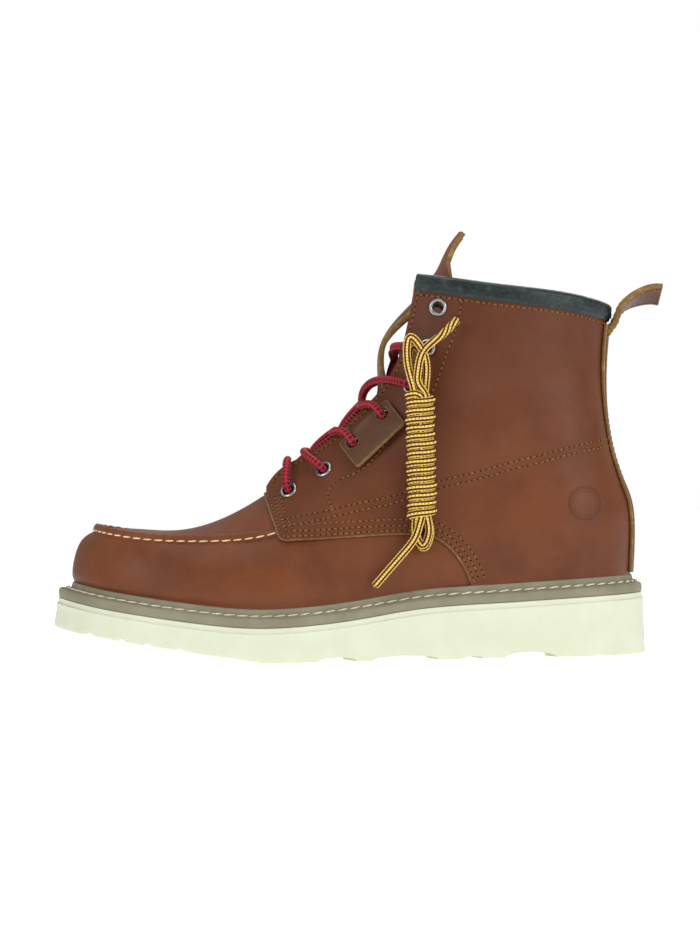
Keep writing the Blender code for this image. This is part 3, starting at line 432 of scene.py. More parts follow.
def side_level(ribs, inset_column, height_column=None):
    """A level given by its inset from the sole's edge and its height above the outsole."""
    plan = outline(ribs, side_column(ribs, inset_column) * WELT_REACH)
    if height_column is None:
        height = SKIRT_TOP
    else:
        height = side_column(ribs, height_column) * TOE_HEIGHT
    return np.column_stack([plan, sole_top(plan[:, 0]) + height])


def table_level(ribs, table):
    """A level given by a table of along, lateral, medial and rise."""
    rows = np.array(table)
    width = half_width(np.array(OUTLINE)[:, 0])
    knots = both_sides(rows[:, [0, 3]], rows[:, 1] * width, rows[:, 2] * width)
    found = spline(RIBS, knots, ribs, closed=True)
    x = along_x(found[:, 0])
    return np.column_stack([x, found[:, 2], sole_top(x) + TOE_HEIGHT + found[:, 1] * SHAFT_RISE])


def ridge_y(x):
    """The centre line of the foot in plan: it swings to the medial side at the toe."""
    return 0.0050 * (1 - ease(x_along(x), 0.05, 0.42))


def top_level(ribs):
    """The ridge in front of the throat, the two facings' edges and the collar."""
    ribs = np.asarray(ribs, float)
    rib = np.abs(ribs)
    side = np.where(ribs < 0, -1.0, 1.0)
    ridge = np.array(RIDGE)
    mirrored = np.vstack([ridge[:0:-1] * (-1, 1, 1), ridge])
    facing = np.array(FACING)
    collar = np.array(COLLAR)
    past_heel = collar[-2::-1] * (-1, 1, 1, -1) + (2 * HEEL, 0, 0, 0)
    collar = np.vstack([collar, past_heel])
    on_ridge = spline(mirrored[:, 0], mirrored[:, 1:], np.minimum(rib, THROAT))
    on_facing = spline(facing[:, 0], facing[:, 1:], np.clip(rib, THROAT, CORNER))
    on_collar = spline(collar[:, 0], collar[:, 1:], np.maximum(rib, CORNER))
    along_rise = np.where(
        (rib < THROAT)[:, None],
        on_ridge,
        np.where((rib < CORNER)[:, None], on_facing[:, :2], on_collar[:, :2]),
    )
    x = along_x(along_rise[:, 0])
    reach = np.where(rib < CORNER, on_facing[:, 2] * THROAT_GAP, on_collar[:, 2] * SHAFT_WIDTH)
    y = ridge_y(x) + side * np.where(rib <= THROAT, 0, reach)
    return np.column_stack([x, y, sole_top(x) + TOE_HEIGHT + along_rise[:, 1] * SHAFT_RISE])


LEVEL_KNOTS = np.array([0.0, 0.35, 1.0, 1.6, 2.5, 3.4])


def all_levels(ribs):
    return np.stack(
        [
            side_level(ribs, 0),
            side_level(ribs, 1, 2),
            side_level(ribs, 3, 4),
            table_level(ribs, SEAM),
            table_level(ribs, INSTEP),
            top_level(ribs),
        ],
        axis=1,
    )


def level_weights(at):
    """How much each level counts at these heights, for four ways of drawing the rib."""
    count = len(LEVEL_KNOTS)
    none = np.zeros((len(at), count))
    mirrored = np.concatenate([LEVEL_KNOTS, 2 * LEVEL_KNOTS[-1] - LEVEL_KNOTS[-2::-1]])
    free = spline(LEVEL_KNOTS, np.eye(count), at)
    whole = spline(mirrored, np.eye(len(mirrored)), at)
    below = (at <= LEVEL_KNOTS[3])[:, None]
    low = spline(LEVEL_KNOTS[:4], np.eye(4), at)
    high_free = spline(LEVEL_KNOTS[3:], np.eye(3), at)
    high_whole = spline(mirrored[3:8], np.eye(5), at)
    corner_free = np.hstack([np.where(below, low, 0), none[:, 4:]])
    corner_free[:, 3:] += np.where(below, 0, high_free)
    corner_whole = np.zeros((len(at), len(mirrored)))
    corner_whole[:, :4] = np.where(below, low, 0)
    corner_whole[:, 3:8] += np.where(below, 0, high_whole)
    pad = np.zeros((len(at), count - 1))
    return np.hstack([free, pad]), whole, np.hstack([corner_free, pad]), corner_whole


def skin(ribs, levels):
    """Points of the vamp's outer face, without the toe rim or the quarter on it."""
    ribs, levels = np.broadcast_arrays(np.asarray(ribs, float), np.asarray(levels, float))
    shape = ribs.shape
    ribs = (ribs.ravel() + HEEL) % (2 * HEEL) - HEEL
    at = np.interp(levels.ravel(), np.arange(len(LEVEL_KNOTS)), LEVEL_KNOTS)
    own = all_levels(ribs)
    other = all_levels(-ribs)[:, -2::-1]
    rows = np.concatenate([own, other], axis=1)
    free, whole, corner_free, corner_whole = level_weights(at)
    corner = 1 - ease(np.abs(ribs), 4.4, 6.2)[:, None]
    closed = 1 - ease(np.abs(ribs), THROAT - 0.5, THROAT)[:, None]
    weights = corner * (closed * corner_whole + (1 - closed) * corner_free)
    weights = weights + (1 - corner) * (closed * whole + (1 - closed) * free)
    return np.einsum("nk,nkc->nc", weights, rows).reshape(shape + (3,))


def skin_normal(ribs, levels, mirrored=False):
    ribs, levels = np.broadcast_arrays(np.asarray(ribs, float), np.asarray(levels, float))
    step = 0.02
    low, high = np.maximum(levels - step, 0), np.minimum(levels + step, TOP - step)
    low = np.minimum(low, high - step)
    level = np.minimum(levels, TOP - step)
    up = skin(ribs, high) - skin(ribs, low)
    round_it = skin(ribs + step, level) - skin(ribs - step, level)
    normal = unit(np.cross(up, round_it))
    on_ridge = (levels > TOP - 1e-6) & (np.abs(ribs) <= THROAT)
    if on_ridge.any() and not mirrored:
        other = skin_normal(-ribs, levels, True) * (1, -1, 1)
        normal = np.where(on_ridge[..., None], (normal + other) * (1, 0, 1), normal)
    return unit(normal)


def offset(ribs, levels, out):
    return skin(ribs, levels) + skin_normal(ribs, levels) * out


def skirt(ribs, out):
    """The bottom edge of the upper, straight below the lip level."""
    edge = offset(ribs, 0 * np.asarray(ribs, float), out)
    edge[:, 2] = sole_top(edge[:, 0]) + FEATHER_HEIGHT
    return edge


def near_top(ribs, distance):
    """The level at this distance below the top edge."""
    levels = np.linspace(3.2, TOP, 46)
    found = []
    for rib in ribs:
        points = skin(rib, levels)
        steps = np.linalg.norm(np.diff(points, axis=0), axis=1)
        below = np.concatenate([np.cumsum(steps[::-1])[::-1], [0]])
        found.append(np.interp(-distance, -below, levels))
    return np.array(found)


def near_facing(ribs, distance):
    """The level at this distance from the facing's edge, measured straight to the edge."""
    edge = skin(np.linspace(THROAT, CORNER, 100), TOP)
    levels = np.linspace(3.0, TOP, 41)
    found = []
    for rib in ribs:
        points = skin(rib, levels)
        to_edge = np.linalg.norm(points[:, None] - edge, axis=2).min(axis=1)
        found.append(np.interp(-distance, -to_edge, levels))
    return np.array(found)


def eyelet_places():
    """For each eyelet pair and side: the rib, the level, the place and the way out."""
    ribs = np.linspace(THROAT + 0.3, CORNER + 0.5, 90)
    levels = near_facing(ribs, EYELET_EDGE)
    ribs, levels = ribs[levels < TOP - 0.001], levels[levels < TOP - 0.001]
    points = skin(ribs, levels)
    reach = run_lengths(points)
    places = []
    for pair, distance in enumerate(
        np.linspace(FIRST_EYELET, reach[-1] - LAST_EYELET, EYELET_PAIRS)
    ):
        rib = np.interp(distance, reach, ribs)
        level = np.interp(distance, reach, levels)
        for side in (-1, 1):
            here = (np.array([side * rib]), np.array([level]))
            out = skin_normal(*here)[0]
            places.append((pair, side, skin(*here)[0] + out * OVERLAY, out))
    return places


def near_heel_reach(levels):
    """How many ribs to each side of the heel's centre the backstay reaches at each level."""
    ribs = np.linspace(HEEL - 2.5, HEEL, 51)
    found = []
    for level in levels:
        points = skin(ribs, level)
        steps = np.linalg.norm(np.diff(points, axis=0), axis=1)
        to_heel = np.concatenate([np.cumsum(steps[::-1])[::-1], [0]])
        found.append(HEEL - np.interp(-BACKSTAY_WIDTH / 2, -to_heel, ribs))
    return np.array(found)


def smooth_route(points, count):
    points = np.asarray(points, float)
    knots = run_lengths(points)
    return spline(knots, points, np.linspace(0, knots[-1], count))


def edge_point(key, places):
    """The facing's edge above an eyelet: the point, its way out and its way to the throat."""
    place = places[key][0]
    ribs = key[1] * np.linspace(THROAT, CORNER, 120)
    points = skin(ribs, TOP)
    nearest = int(np.argmin(np.linalg.norm(points - place, axis=1)))
    out = skin_normal(ribs[nearest : nearest + 1], np.array([TOP - 0.1]))[0]
    point = points[nearest]
    to_throat = unit(point - place)
    return point, out, to_throat


def under_edge(edge):
    point, out, to_throat = edge
    return point - out * (WALL + LACE / 2 + 0.0010) - to_throat * 0.0015


def lace_crown(row):
    x = along_x(row[0])
    return np.array([x, ridge_y(x), sole_top([x])[0] + TOE_HEIGHT + row[1] * SHAFT_RISE])


def under_patch(pair, side):
    return side < 0 and pair in PATCH_PAIRS


def over_facing(pair, side, places, edges):
    """From inside an eyelet's bore over its flange, and over the patch if it lies there."""
    place, out = places[pair, side]
    edge, edge_out, to_throat = edges[pair, side]
    route = [place - out * 0.0022]
    if under_patch(pair, side):
        route.append(place + out * (PATCH_LIFT + PATCH_THICK + 0.0012))
        route.append(place + out * (PATCH_LIFT + PATCH_THICK + LACE / 2 + 0.0012) + to_throat * 0.0062)
    else:
        route.append(place + out * 0.0016)
    route.append(edge + edge_out * (OVERLAY + LACE / 2 + 0.0005) + to_throat * 0.0005)
    return route


def add_grid(bm, points, wrap_rows=False, wrap_columns=False):
    """Quads over rows x columns of points; returns the vertices, row by row."""
    rows = [[bm.verts.new(point) for point in row] for row in points]
    row_count, column_count = len(rows), len(rows[0])
    for i in range(row_count if wrap_rows else row_count - 1):
        for j in range(column_count if wrap_columns else column_count - 1):
            next_row, next_column = rows[(i + 1) % row_count], (j + 1) % column_count
            bm.faces.new((rows[i][j], rows[i][next_column], next_row[next_column], next_row[j]))
    return rows


def add_sweep(bm, sections):
    """A tube through the sections, each the same closed loop of points."""
    rows = add_grid(bm, sections, wrap_columns=True)
    bm.faces.new(rows[0])
    bm.faces.new(rows[-1])


def add_sheet(bm, outer, inner):
    """A plate with edges all round between two grids of the same size."""
    columns = [
        np.vstack([outer[:, j], inner[::-1, j]]) for j in range(outer.shape[1])
    ]
    rows = add_grid(bm, columns, wrap_columns=True)
    count = outer.shape[0]
    for row in (rows[0], rows[-1]):
        for i in range(count - 1):
            bm.faces.new((row[i], row[i + 1], row[-2 - i], row[-1 - i]))


def add_plate(bm, rings, ribs):
    """A plate of closed rings from bottom to top, with ruled faces across both ends."""
    points = []
    for inset, share, above in rings:
        plan = outline(ribs, inset)
        bottom, top = sole_bottom(plan[:, 0]), sole_top(plan[:, 0])
        points.append(np.column_stack([plan, bottom * (1 - share) + top * share + above]))
    rows = add_grid(bm, points, wrap_columns=True)
    count = len(ribs)
    for row in (rows[0], rows[-1]):
        for i in range(count // 2):
            corners = (row[i], row[i + 1], row[-(i + 1) % count], row[-i % count])
            bm.faces.new(list(dict.fromkeys(corners)))


def lip_inset(ribs):
    """The upper's visible face at the lip: the quarter stands proud of the vamp."""
    return side_column(ribs, 0) * WELT_REACH - OVERLAY * cover(ribs)


def tongue_sections(count, across):
    """Points and outward directions of the tongue's outer face, row by row."""
    rows = np.array(TONGUE)
    knots = np.arange(len(rows))
    at = np.linspace(0, len(rows) - 1, count)
    path = spline(knots, rows[:, :2], at)
    x = along_x(path[:, 0])
    z = sole_top(x) + TOE_HEIGHT + path[:, 1] * SHAFT_RISE
    centre = np.column_stack([x, ridge_y(x), z])
    ahead = unit(np.gradient(centre, axis=0))
    side = np.array([0.0, 1.0, 0.0])
    out = unit(np.cross(side, ahead)) * -1
    width = np.interp(at, knots, rows[:, 2]) * THROAT_GAP
    crown = np.interp(at, knots, rows[:, 3]) * THROAT_GAP
    outer, inner = [], []
    for i in range(count):
        y = across * width[i]
        set_back = crown[i] * across**2
        face = centre[i] + np.outer(y, side) - np.outer(set_back, out[i])
        slope = np.cross(unit(np.gradient(face, axis=0)), ahead[i])
        slope = unit(slope * np.sign((slope @ out[i]))[:, None])
        outer.append(face)
        inner.append(face - slope * TONGUE_THICK)
    return np.array(outer), np.array(inner)


def turned(profile, place, out, steps=8):
    """Sections of a closed profile of radius and height, turned about the way out."""
    across = unit(np.cross(out, (0.2, 0.9, 0.4)))
    other = np.cross(out, across)
    sections = []
    for turn in np.arange(steps) * 2 * math.pi / steps:
        radial = across * math.cos(turn) + other * math.sin(turn)
        sections.append([place + radial * radius + out * height for radius, height in profile])
    return sections


# Pieces
MERGE = 1e-6


def leftover(obj):
    mesh = obj.data
    bpy.data.objects.remove(obj, do_unlink=True)
    bpy.data.meshes.remove(mesh)


def in_scene(name, data):
    obj = bpy.data.objects.new(name, data)
    bpy.context.scene.collection.objects.link(obj)
    return obj


def object_of(bm, name):
    mesh = bpy.data.meshes.new(name)
    bm.to_mesh(mesh)
    bm.free()
    return in_scene(name, mesh)


def shape_from(bm, name, finishes, sharp=40):
    """A mesh object of this bmesh, welded and facing out."""
    bmesh.ops.remove_doubles(bm, verts=bm.verts, dist=MERGE)
    bmesh.ops.dissolve_degenerate(bm, edges=bm.edges, dist=MERGE)
    bmesh.ops.recalc_face_normals(bm, faces=bm.faces)
    obj = object_of(bm, name)
    for used in finishes:
        obj.data.materials.append(used)
    obj.data.shade_smooth()
    obj.data.set_sharp_from_angle(angle=math.radians(sharp))
    return obj


def settled(obj, sharp=40):
    """The object with its modifiers worked into its mesh."""
    graph = bpy.context.evaluated_depsgraph_get()
    mesh = bpy.data.meshes.new_from_object(obj.evaluated_get(graph), depsgraph=graph)
    old = obj.data
    obj.modifiers.clear()
    obj.data = mesh
    mesh.name = obj.name
    bpy.data.meshes.remove(old)
    mesh.shade_smooth()
    mesh.set_sharp_from_angle(angle=math.radians(sharp))
    return obj


def cut(obj, cutter, operation="DIFFERENCE", sharp=40, keep=False):
    modifier = obj.modifiers.new("cut", "BOOLEAN")
    modifier.operation = operation
    modifier.object = cutter
    modifier.solver = "EXACT"
    modifier.material_mode = "TRANSFER"
    settled(obj, sharp)
    if not keep:
        leftover(cutter)
    return obj


def rounded(obj, width, segments=2, angle=35, sharp=40, raw=-1):
    """Softens the sharp edges; raw is the index of the finish that the softened band gets."""
    modifier = obj.modifiers.new("round", "BEVEL")
    modifier.material = raw
    modifier.width = width
    modifier.segments = segments
    modifier.limit_method = "ANGLE"
    modifier.angle_limit = math.radians(angle)
    modifier.use_clamp_overlap = True
    return settled(obj, sharp)


def on_boot(obj, slot, *nodes):
    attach(obj, "root")
    if nodes:
        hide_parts(*nodes)
    return obj


# Finishes
def finish(name, colour, roughness=0.5, **settings):
    """A Principled material and its node tree, with the same-everywhere values on the shader."""
    made = bpy.data.materials.new(name)
    made.use_nodes = True
    shader = made.node_tree.nodes["Principled BSDF"]
    shader.inputs["Base Color"].default_value = (*colour, 1)
    shader.inputs["Roughness"].default_value = roughness
    for socket, value in settings.items():
        shader.inputs[socket.replace("_", " ")].default_value = value
    return made


def put(tree, kind, links=None, **settings):
    """A node in the tree; links gives each input a socket or a value."""
    node = tree.nodes.new(kind)
    for key, value in settings.items():
        setattr(node, key, value)
    for key, value in (links or {}).items():
        if isinstance(value, bpy.types.NodeSocket):
            tree.links.new(value, node.inputs[key])
        else:
            node.inputs[key].default_value = value
    return node


def add(made, kind, links=None, **settings):
    return put(made.node_tree, "ShaderNode" + kind, links, **settings)


def noise(made, scale, detail=3.0, rough=0.55, at=None):
    at = at or add(made, "TexCoord").outputs["Object"]
    node = add(made, "TexNoise", {"Vector": at, "Scale": scale, "Detail": detail, "Roughness": rough})
    return node.outputs["Fac"]


def cells(made, scale, feature="F1"):
    at = add(made, "TexCoord").outputs["Object"]
    return add(made, "TexVoronoi", {"Vector": at, "Scale": scale}, feature=feature).outputs["Distance"]


def maths(made, operation, a, b=0.0, c=0.0):
    return add(made, "Math", {0: a, 1: b, 2: c}, operation=operation).outputs[0]


def span(made, value, low, high, to_low=0.0, to_high=1.0):
    links = {"Value": value, "From Min": low, "From Max": high, "To Min": to_low, "To Max": to_high}
    return add(made, "MapRange", links, interpolation_type="SMOOTHSTEP").outputs[0]


def blend_colours(made, share, first, second):
    node = add(made, "Mix", {0: share}, data_type="RGBA")
    for index, value in ((6, first), (7, second)):
        if isinstance(value, bpy.types.NodeSocket):
            made.node_tree.links.new(value, node.inputs[index])
        else:
            node.inputs[index].default_value = (*value, 1)
    return node.outputs[2]


def mottled(made, grain, spread, first, second):
    """The second colour over the first where a noise of this grain runs high."""
    return blend_colours(made, span(made, noise(made, *grain), *spread), first, second)


def bump(made, height, distance, under=None, strength=1.0):
    links = {"Height": height, "Distance": distance, "Strength": strength}
    if under:
        links["Normal"] = under
    return add(made, "Bump", links).outputs["Normal"]


def drive(made, socket, value):
    made.node_tree.links.new(value, made.node_tree.nodes["Principled BSDF"].inputs[socket])


def side_view(made):
    """The object's own coordinates, split."""
    split = add(made, "SeparateXYZ", {0: add(made, "TexCoord").outputs["Object"]})
    return split.outputs


# The plain pressed ring at the heel: centre, and the radii of its two lines
RING_X, RING_Z = -0.0002, 0.0766
RING_RADII = (0.0081, 0.0062)


def ring_mark(made):
    """How deep the pressed ring lies, on the lateral side alone."""
    x, y, z = side_view(made)
    across, up = maths(made, "ADD", x, -RING_X), maths(made, "ADD", z, -RING_Z)
    across, up = maths(made, "MULTIPLY", across, across), maths(made, "MULTIPLY", up, up)
    away = maths(made, "SQRT", maths(made, "ADD", across, up))
    outer, inner = (maths(made, "ABSOLUTE", maths(made, "ADD", away, -r)) for r in RING_RADII)
    outer = span(made, outer, 0.0003, 0.0010, 1.0, 0.0)
    inner = span(made, inner, 0.0002, 0.0006, 0.6, 0.0)
    near_side = span(made, y, -0.01, 0.0, 1.0, 0.0)
    return maths(made, "MULTIPLY", maths(made, "ADD", outer, inner), near_side)


def oiled_leather(name, base, dark, light, marked_and_shaded=False, creased=True):
    """Smooth pull-up leather: fine pores, faint wrinkles, cloudy colour and an oily sheen."""
    made = finish(name, base, 0.5, Specular_IOR_Level=0.20, Coat_Weight=0.05, Coat_Roughness=0.32)
    cloudy = noise(made, 26, 4, 0.6)
    patchy = noise(made, 95, 4, 0.6)
    pores = cells(made, 1500)
    fibres = noise(made, 2600, 2, 0.6)
    wrinkles = noise(made, 420, 5, 0.62)
    colour = blend_colours(made, span(made, cloudy, 0.30, 0.60, 0.45, 1.0), dark, base)
    colour = blend_colours(made, span(made, patchy, 0.50, 0.80, 0.0, 0.22), colour, light)
    colour = blend_colours(made, span(made, pores, 0.02, 0.22, 0.28, 0.0), colour, dark)
    x, y, z = side_view(made)
    level = add(made, "CombineXYZ", {0: x, 1: y, 2: maths(made, "MULTIPLY", z, 4.0)}).outputs[0]
    streaks = noise(made, 60, 6, 0.7, level)
    colour = blend_colours(made, span(made, streaks, 0.60, 0.78, 0.0, 0.12), colour, light)
    height = maths(made, "MULTIPLY_ADD", pores, 0.35, maths(made, "MULTIPLY", fibres, 0.25))
    height = maths(made, "MULTIPLY_ADD", wrinkles, 0.55, height)
    if marked_and_shaded:
        # painted shade: the quarter darkens towards its top and its front, up to half way to the dark
        # colour, where the shaft lies in shade
        painted_shade_rise = maths(made, "MULTIPLY_ADD", maths(made, "ADD", x, 0.02), -0.35, z)
        colour = blend_colours(made, span(made, painted_shade_rise, 0.075, 0.175, 0.0, 0.50), colour, dark)
        mark = ring_mark(made)
        colour = blend_colours(made, maths(made, "MULTIPLY", mark, 0.55), colour, dark)
        height = maths(made, "MULTIPLY_ADD", mark, -2.2, height)
    fine = bump(made, height, 0.00022, strength=0.55)
    broad = bump(made, noise(made, 70, 3, 0.5), 0.0012, fine, 0.30) if creased else fine
    drive(made, "Base Color", colour)
    drive(made, "Roughness", span(made, patchy, 0.3, 0.7, 0.42, 0.55))
    drive(made, "Normal", broad)
    return made


def fibrous(name, base, dark, light, scale=900):
    """A raw leather edge, split or lining: matt, fuzzy and uneven."""
    made = finish(name, base, 0.85, Specular_IOR_Level=0.2, Sheen_Weight=0.15, Sheen_Roughness=0.6)
    colour = mottled(made, (scale, 4, 0.7), (0.35, 0.65), dark, base)
    colour = mottled(made, (scale / 6, 3, 0.6), (0.5, 0.75, 0.0, 0.7), colour, light)
    drive(made, "Base Color", colour)
    drive(made, "Normal", bump(made, noise(made, scale * 1.8, 4, 0.7), 0.00025))
    return made


def padded_leather(name, base, dark, light):
    """The dark collar leather, with a pebbled grain."""
    made = finish(name, base, 0.40, Specular_IOR_Level=0.36, Coat_Weight=0.06, Coat_Roughness=0.25)
    pebbles = cells(made, 620, feature="SMOOTH_F1")
    colour = blend_colours(made, span(made, pebbles, 0.15, 0.6), base, dark)
    colour = mottled(made, (160, 4, 0.6), (0.52, 0.78, 0.0, 0.8), colour, light)
    drive(made, "Base Color", colour)
    drive(made, "Roughness", span(made, noise(made, 240, 3, 0.6), 0.3, 0.7, 0.32, 0.52))
    height = maths(made, "MULTIPLY_ADD", pebbles, -0.8, noise(made, 1500, 2, 0.6))
    drive(made, "Normal", bump(made, height, 0.00022, strength=0.7))
    return made


def moulded(name, base, dark, dirt, speck=2200, depth=0.00010, rough=0.62, dusty=0.35):
    """Foamed or moulded rubber, with a fine skin, cloudy colour and patches of dust."""
    made = finish(name, base, rough, Specular_IOR_Level=0.35)
    colour = mottled(made, (55, 4, 0.6), (0.35, 0.7), dark, base)
    colour = mottled(made, (speck, 2, 0.6), (0.60, 0.74, 0.0, 0.5), colour, dark)
    colour = mottled(made, (130, 6, 0.72), (0.56, 0.74, 0.0, dusty), colour, dirt)
    drive(made, "Base Color", colour)
    drive(made, "Roughness", span(made, noise(made, 180, 4, 0.6), 0.3, 0.7, rough - 0.08, rough + 0.1))
    waves = maths(made, "MULTIPLY", noise(made, 340, 3, 0.6), 1.2)
    height = maths(made, "ADD", noise(made, speck * 0.8, 3, 0.65), waves)
    drive(made, "Normal", bump(made, height, depth, strength=0.8))
    return made


def plated(name):
    made = finish(name, (0.33, 0.34, 0.34), 0.24, Metallic=1.0)
    drive(made, "Roughness", span(made, noise(made, 1200, 3, 0.6), 0.3, 0.7, 0.18, 0.34))
    drive(made, "Normal", bump(made, noise(made, 2500, 2, 0.6), 0.00003))
    return made


def braid(name, turn_colours, fleck, pitch, rows, most=0.9, fleck_from=0.08):
    """A braided lace: its UV map runs once round it and along it in metres."""
    base = turn_colours[0][1]
    made = finish(name, base, 0.72, Specular_IOR_Level=0.25, Sheen_Weight=0.04, Sheen_Roughness=0.5)
    split = add(made, "SeparateXYZ", {0: add(made, "TexCoord").outputs["UV"]}).outputs
    turn, along = split[0], split[1]
    ramp = add(made, "ValToRGB", {0: turn})
    ramp.color_ramp.interpolation = "CONSTANT"
    stops = ramp.color_ramp.elements
    while len(stops) < len(turn_colours):
        stops.new(0.5)
    for stop, (place, colour) in zip(stops, turn_colours):
        stop.position = place
        stop.color = (*colour, 1)
    lengths = maths(made, "MULTIPLY", along, 2 * math.pi / pitch)
    turns = maths(made, "MULTIPLY", turn, 2 * math.pi * rows)
    one = maths(made, "SINE", maths(made, "ADD", lengths, turns))
    other = maths(made, "SINE", maths(made, "SUBTRACT", lengths, turns))
    weave = maths(made, "MULTIPLY", one, other)
    share = span(made, weave, fleck_from, fleck_from + 0.28, 0.0, most)
    colour = blend_colours(made, share, ramp.outputs["Color"], fleck)
    colour = mottled(made, (900, 3, 0.6), (0.5, 0.8, 0.0, 0.3), colour, fleck)
    height = maths(made, "MULTIPLY_ADD", noise(made, 5200, 2, 0.6), 0.35, maths(made, "ABSOLUTE", one))
    height = maths(made, "ADD", height, maths(made, "ABSOLUTE", other))
    drive(made, "Base Color", colour)
    drive(made, "Normal", bump(made, height, 0.00022, strength=0.8))
    return made


def thread(name, base, dark):
    made = finish(name, base, 0.8, Specular_IOR_Level=0.10)
    drive(made, "Base Color", mottled(made, (700, 3, 0.6), (0.35, 0.7), dark, base))
    drive(made, "Normal", bump(made, noise(made, 4200, 2, 0.6), 0.00010))
    return made


# Stitches
def stitch_tree():
    """Stitches laid end to end along a line, each turned to the surface under it."""
    tree = bpy.data.node_groups.new("stitch_row", "GeometryNodeTree")
    face = tree.interface
    face.new_socket("Geometry", in_out="INPUT", socket_type="NodeSocketGeometry")
    for label in ("Pitch", "Stitch Length", "Thread Width", "Thread Height", "Slant"):
        face.new_socket(label, in_out="INPUT", socket_type="NodeSocketFloat")
    face.new_socket("Thread", in_out="INPUT", socket_type="NodeSocketMaterial")
    face.new_socket("Geometry", in_out="OUTPUT", socket_type="NodeSocketGeometry")

    def step(kind, links=None, **settings):
        return put(tree, kind, links, **settings).outputs

    given = step("NodeGroupInput")
    line = step("GeometryNodeMeshToCurve", {"Mesh": given["Geometry"]})[0]
    even = step("GeometryNodeResampleCurve", {"Curve": line, "Length": given["Pitch"]}, mode="LENGTH")[0]
    out = step("GeometryNodeInputNamedAttribute", {"Name": "out"}, data_type="FLOAT_VECTOR")[0]
    ahead = step("GeometryNodeInputTangent")[0]
    along = step("FunctionNodeAlignRotationToVector", {"Vector": ahead}, axis="X")[0]
    facing = {"Rotation": along, "Vector": out}
    turned_out = step("FunctionNodeAlignRotationToVector", facing, axis="Z", pivot_axis="X")[0]
    slant = step("ShaderNodeCombineXYZ", {2: given["Slant"]})[0]
    lean = step("FunctionNodeEulerToRotation", {0: slant})[0]
    leaning = step("FunctionNodeRotateRotation", {0: turned_out, 1: lean}, rotation_space="LOCAL")[0]
    bead = step("GeometryNodeMeshUVSphere", {"Segments": 8, "Rings": 6, "Radius": 0.5})[0]
    sizes = {0: given["Stitch Length"], 1: given["Thread Width"], 2: given["Thread Height"]}
    size = step("ShaderNodeCombineXYZ", sizes)[0]
    stitch = {"Points": even, "Instance": bead, "Rotation": leaning, "Scale": size}
    placed = step("GeometryNodeInstanceOnPoints", stitch)[0]
    real = step("GeometryNodeRealizeInstances", {0: placed})[0]
    smooth = step("GeometryNodeSetShadeSmooth", {0: real})[0]
    painted = step("GeometryNodeSetMaterial", {"Geometry": smooth, "Material": given["Thread"]})[0]
    put(tree, "NodeGroupOutput", {0: painted})
    return tree


def stitch_rows(name, rows, pitch, length, width, height, thread_finish, slant=0.0):
    """One piece of all these rows; each row is its points and the way out at each."""
    mesh = bpy.data.meshes.new(name)
    points, outs, edges = [], [], []
    for row, out in rows:
        first = len(points)
        points.extend(row)
        outs.extend(out)
        edges.extend((first + i, first + i + 1) for i in range(len(row) - 1))
    mesh.from_pydata([tuple(p) for p in points], edges, [])
    attribute = mesh.attributes.new("out", "FLOAT_VECTOR", "POINT")
    attribute.data.foreach_set("vector", np.asarray(outs, np.float32).ravel())
    obj = in_scene(name, mesh)
    modifier = obj.modifiers.new("stitches", "NODES")
    modifier.node_group = STITCHES
    values = {
        "Pitch": pitch,
        "Stitch Length": length,
        "Thread Width": width,
        "Thread Height": height,
        "Slant": slant,
        "Thread": thread_finish,
    }
    for item in STITCHES.interface.items_tree:
        if item.item_type == "SOCKET" and item.in_out == "INPUT" and item.name in values:
            modifier[item.identifier] = values[item.name]
    obj = settled(obj, 80)
    if not obj.data.materials:
        obj.data.materials.append(thread_finish)
    return obj


def side_places(line, side):
    """Ribs and levels of the skin under a line drawn in side view, as x and z in metres."""
    line = np.asarray(line, float)
    reach = run_lengths(line)
    at = np.linspace(0, reach[-1], max(3, int(reach[-1] / 0.001)))
    target = spline(reach, line, at)
    ribs, levels = side * np.linspace(3.0, 11.9, 150), np.linspace(0.05, 4.95, 90)
    ribs, levels = np.meshgrid(ribs, levels, indexing="ij")
    found = skin(ribs, levels)[..., (0, 2)].reshape(-1, 2)
    near = ((target[:, None] - found) ** 2).sum(axis=2).argmin(axis=1)
    rib, level = ribs.ravel()[near], levels.ravel()[near]
    for _ in range(4):
        here = skin(rib, level)[:, (0, 2)]
        by_rib = (skin(rib + 0.01, level)[:, (0, 2)] - here) / 0.01
        by_level = (skin(rib, level + 0.01)[:, (0, 2)] - here) / 0.01
        miss = target - here
        area = by_rib[:, 0] * by_level[:, 1] - by_rib[:, 1] * by_level[:, 0]
        area = np.where(np.abs(area) < 1e-9, 1e-9, area)
        rib = rib + np.clip((miss[:, 0] * by_level[:, 1] - miss[:, 1] * by_level[:, 0]) / area, -0.2, 0.2)
        level = level + np.clip((by_rib[:, 0] * miss[:, 1] - by_rib[:, 1] * miss[:, 0]) / area, -0.2, 0.2)
        level = np.clip(level, 0.0, TOP - 0.02)
    return rib, level


def side_row(line, side, out=OVERLAY):
    return dressed(*side_places(line, side), out)


def shifted(line, distance):
    """The line moved sideways in its own plane, to its left as it runs."""
    line = np.asarray(line, float)
    ahead = unit(np.gradient(line, axis=0))
    return line + np.column_stack([-ahead[:, 1], ahead[:, 0]]) * distance


# Creases, in shoe sizes: centre along and up, half length, half width, turn in degrees, depth
CREASES = (
    (0.375, 0.205, 0.060, 0.0050, 62, -0.0007),
    (0.405, 0.190, 0.050, 0.0040, 70, 0.0005),
    (0.345, 0.215, 0.045, 0.0045, 50, -0.0005),
    (0.720, 0.420, 0.085, 0.0110, 12, -0.0014),
    (0.700, 0.365, 0.080, 0.0120, 8, 0.0010),
    (0.760, 0.300, 0.080, 0.0100, 18, -0.0009),
    (0.830, 0.470, 0.070, 0.0120, 20, -0.0010),
    (0.660, 0.520, 0.060, 0.0090, 75, -0.0008),
    (0.860, 0.350, 0.060, 0.0090, 40, 0.0006),
)


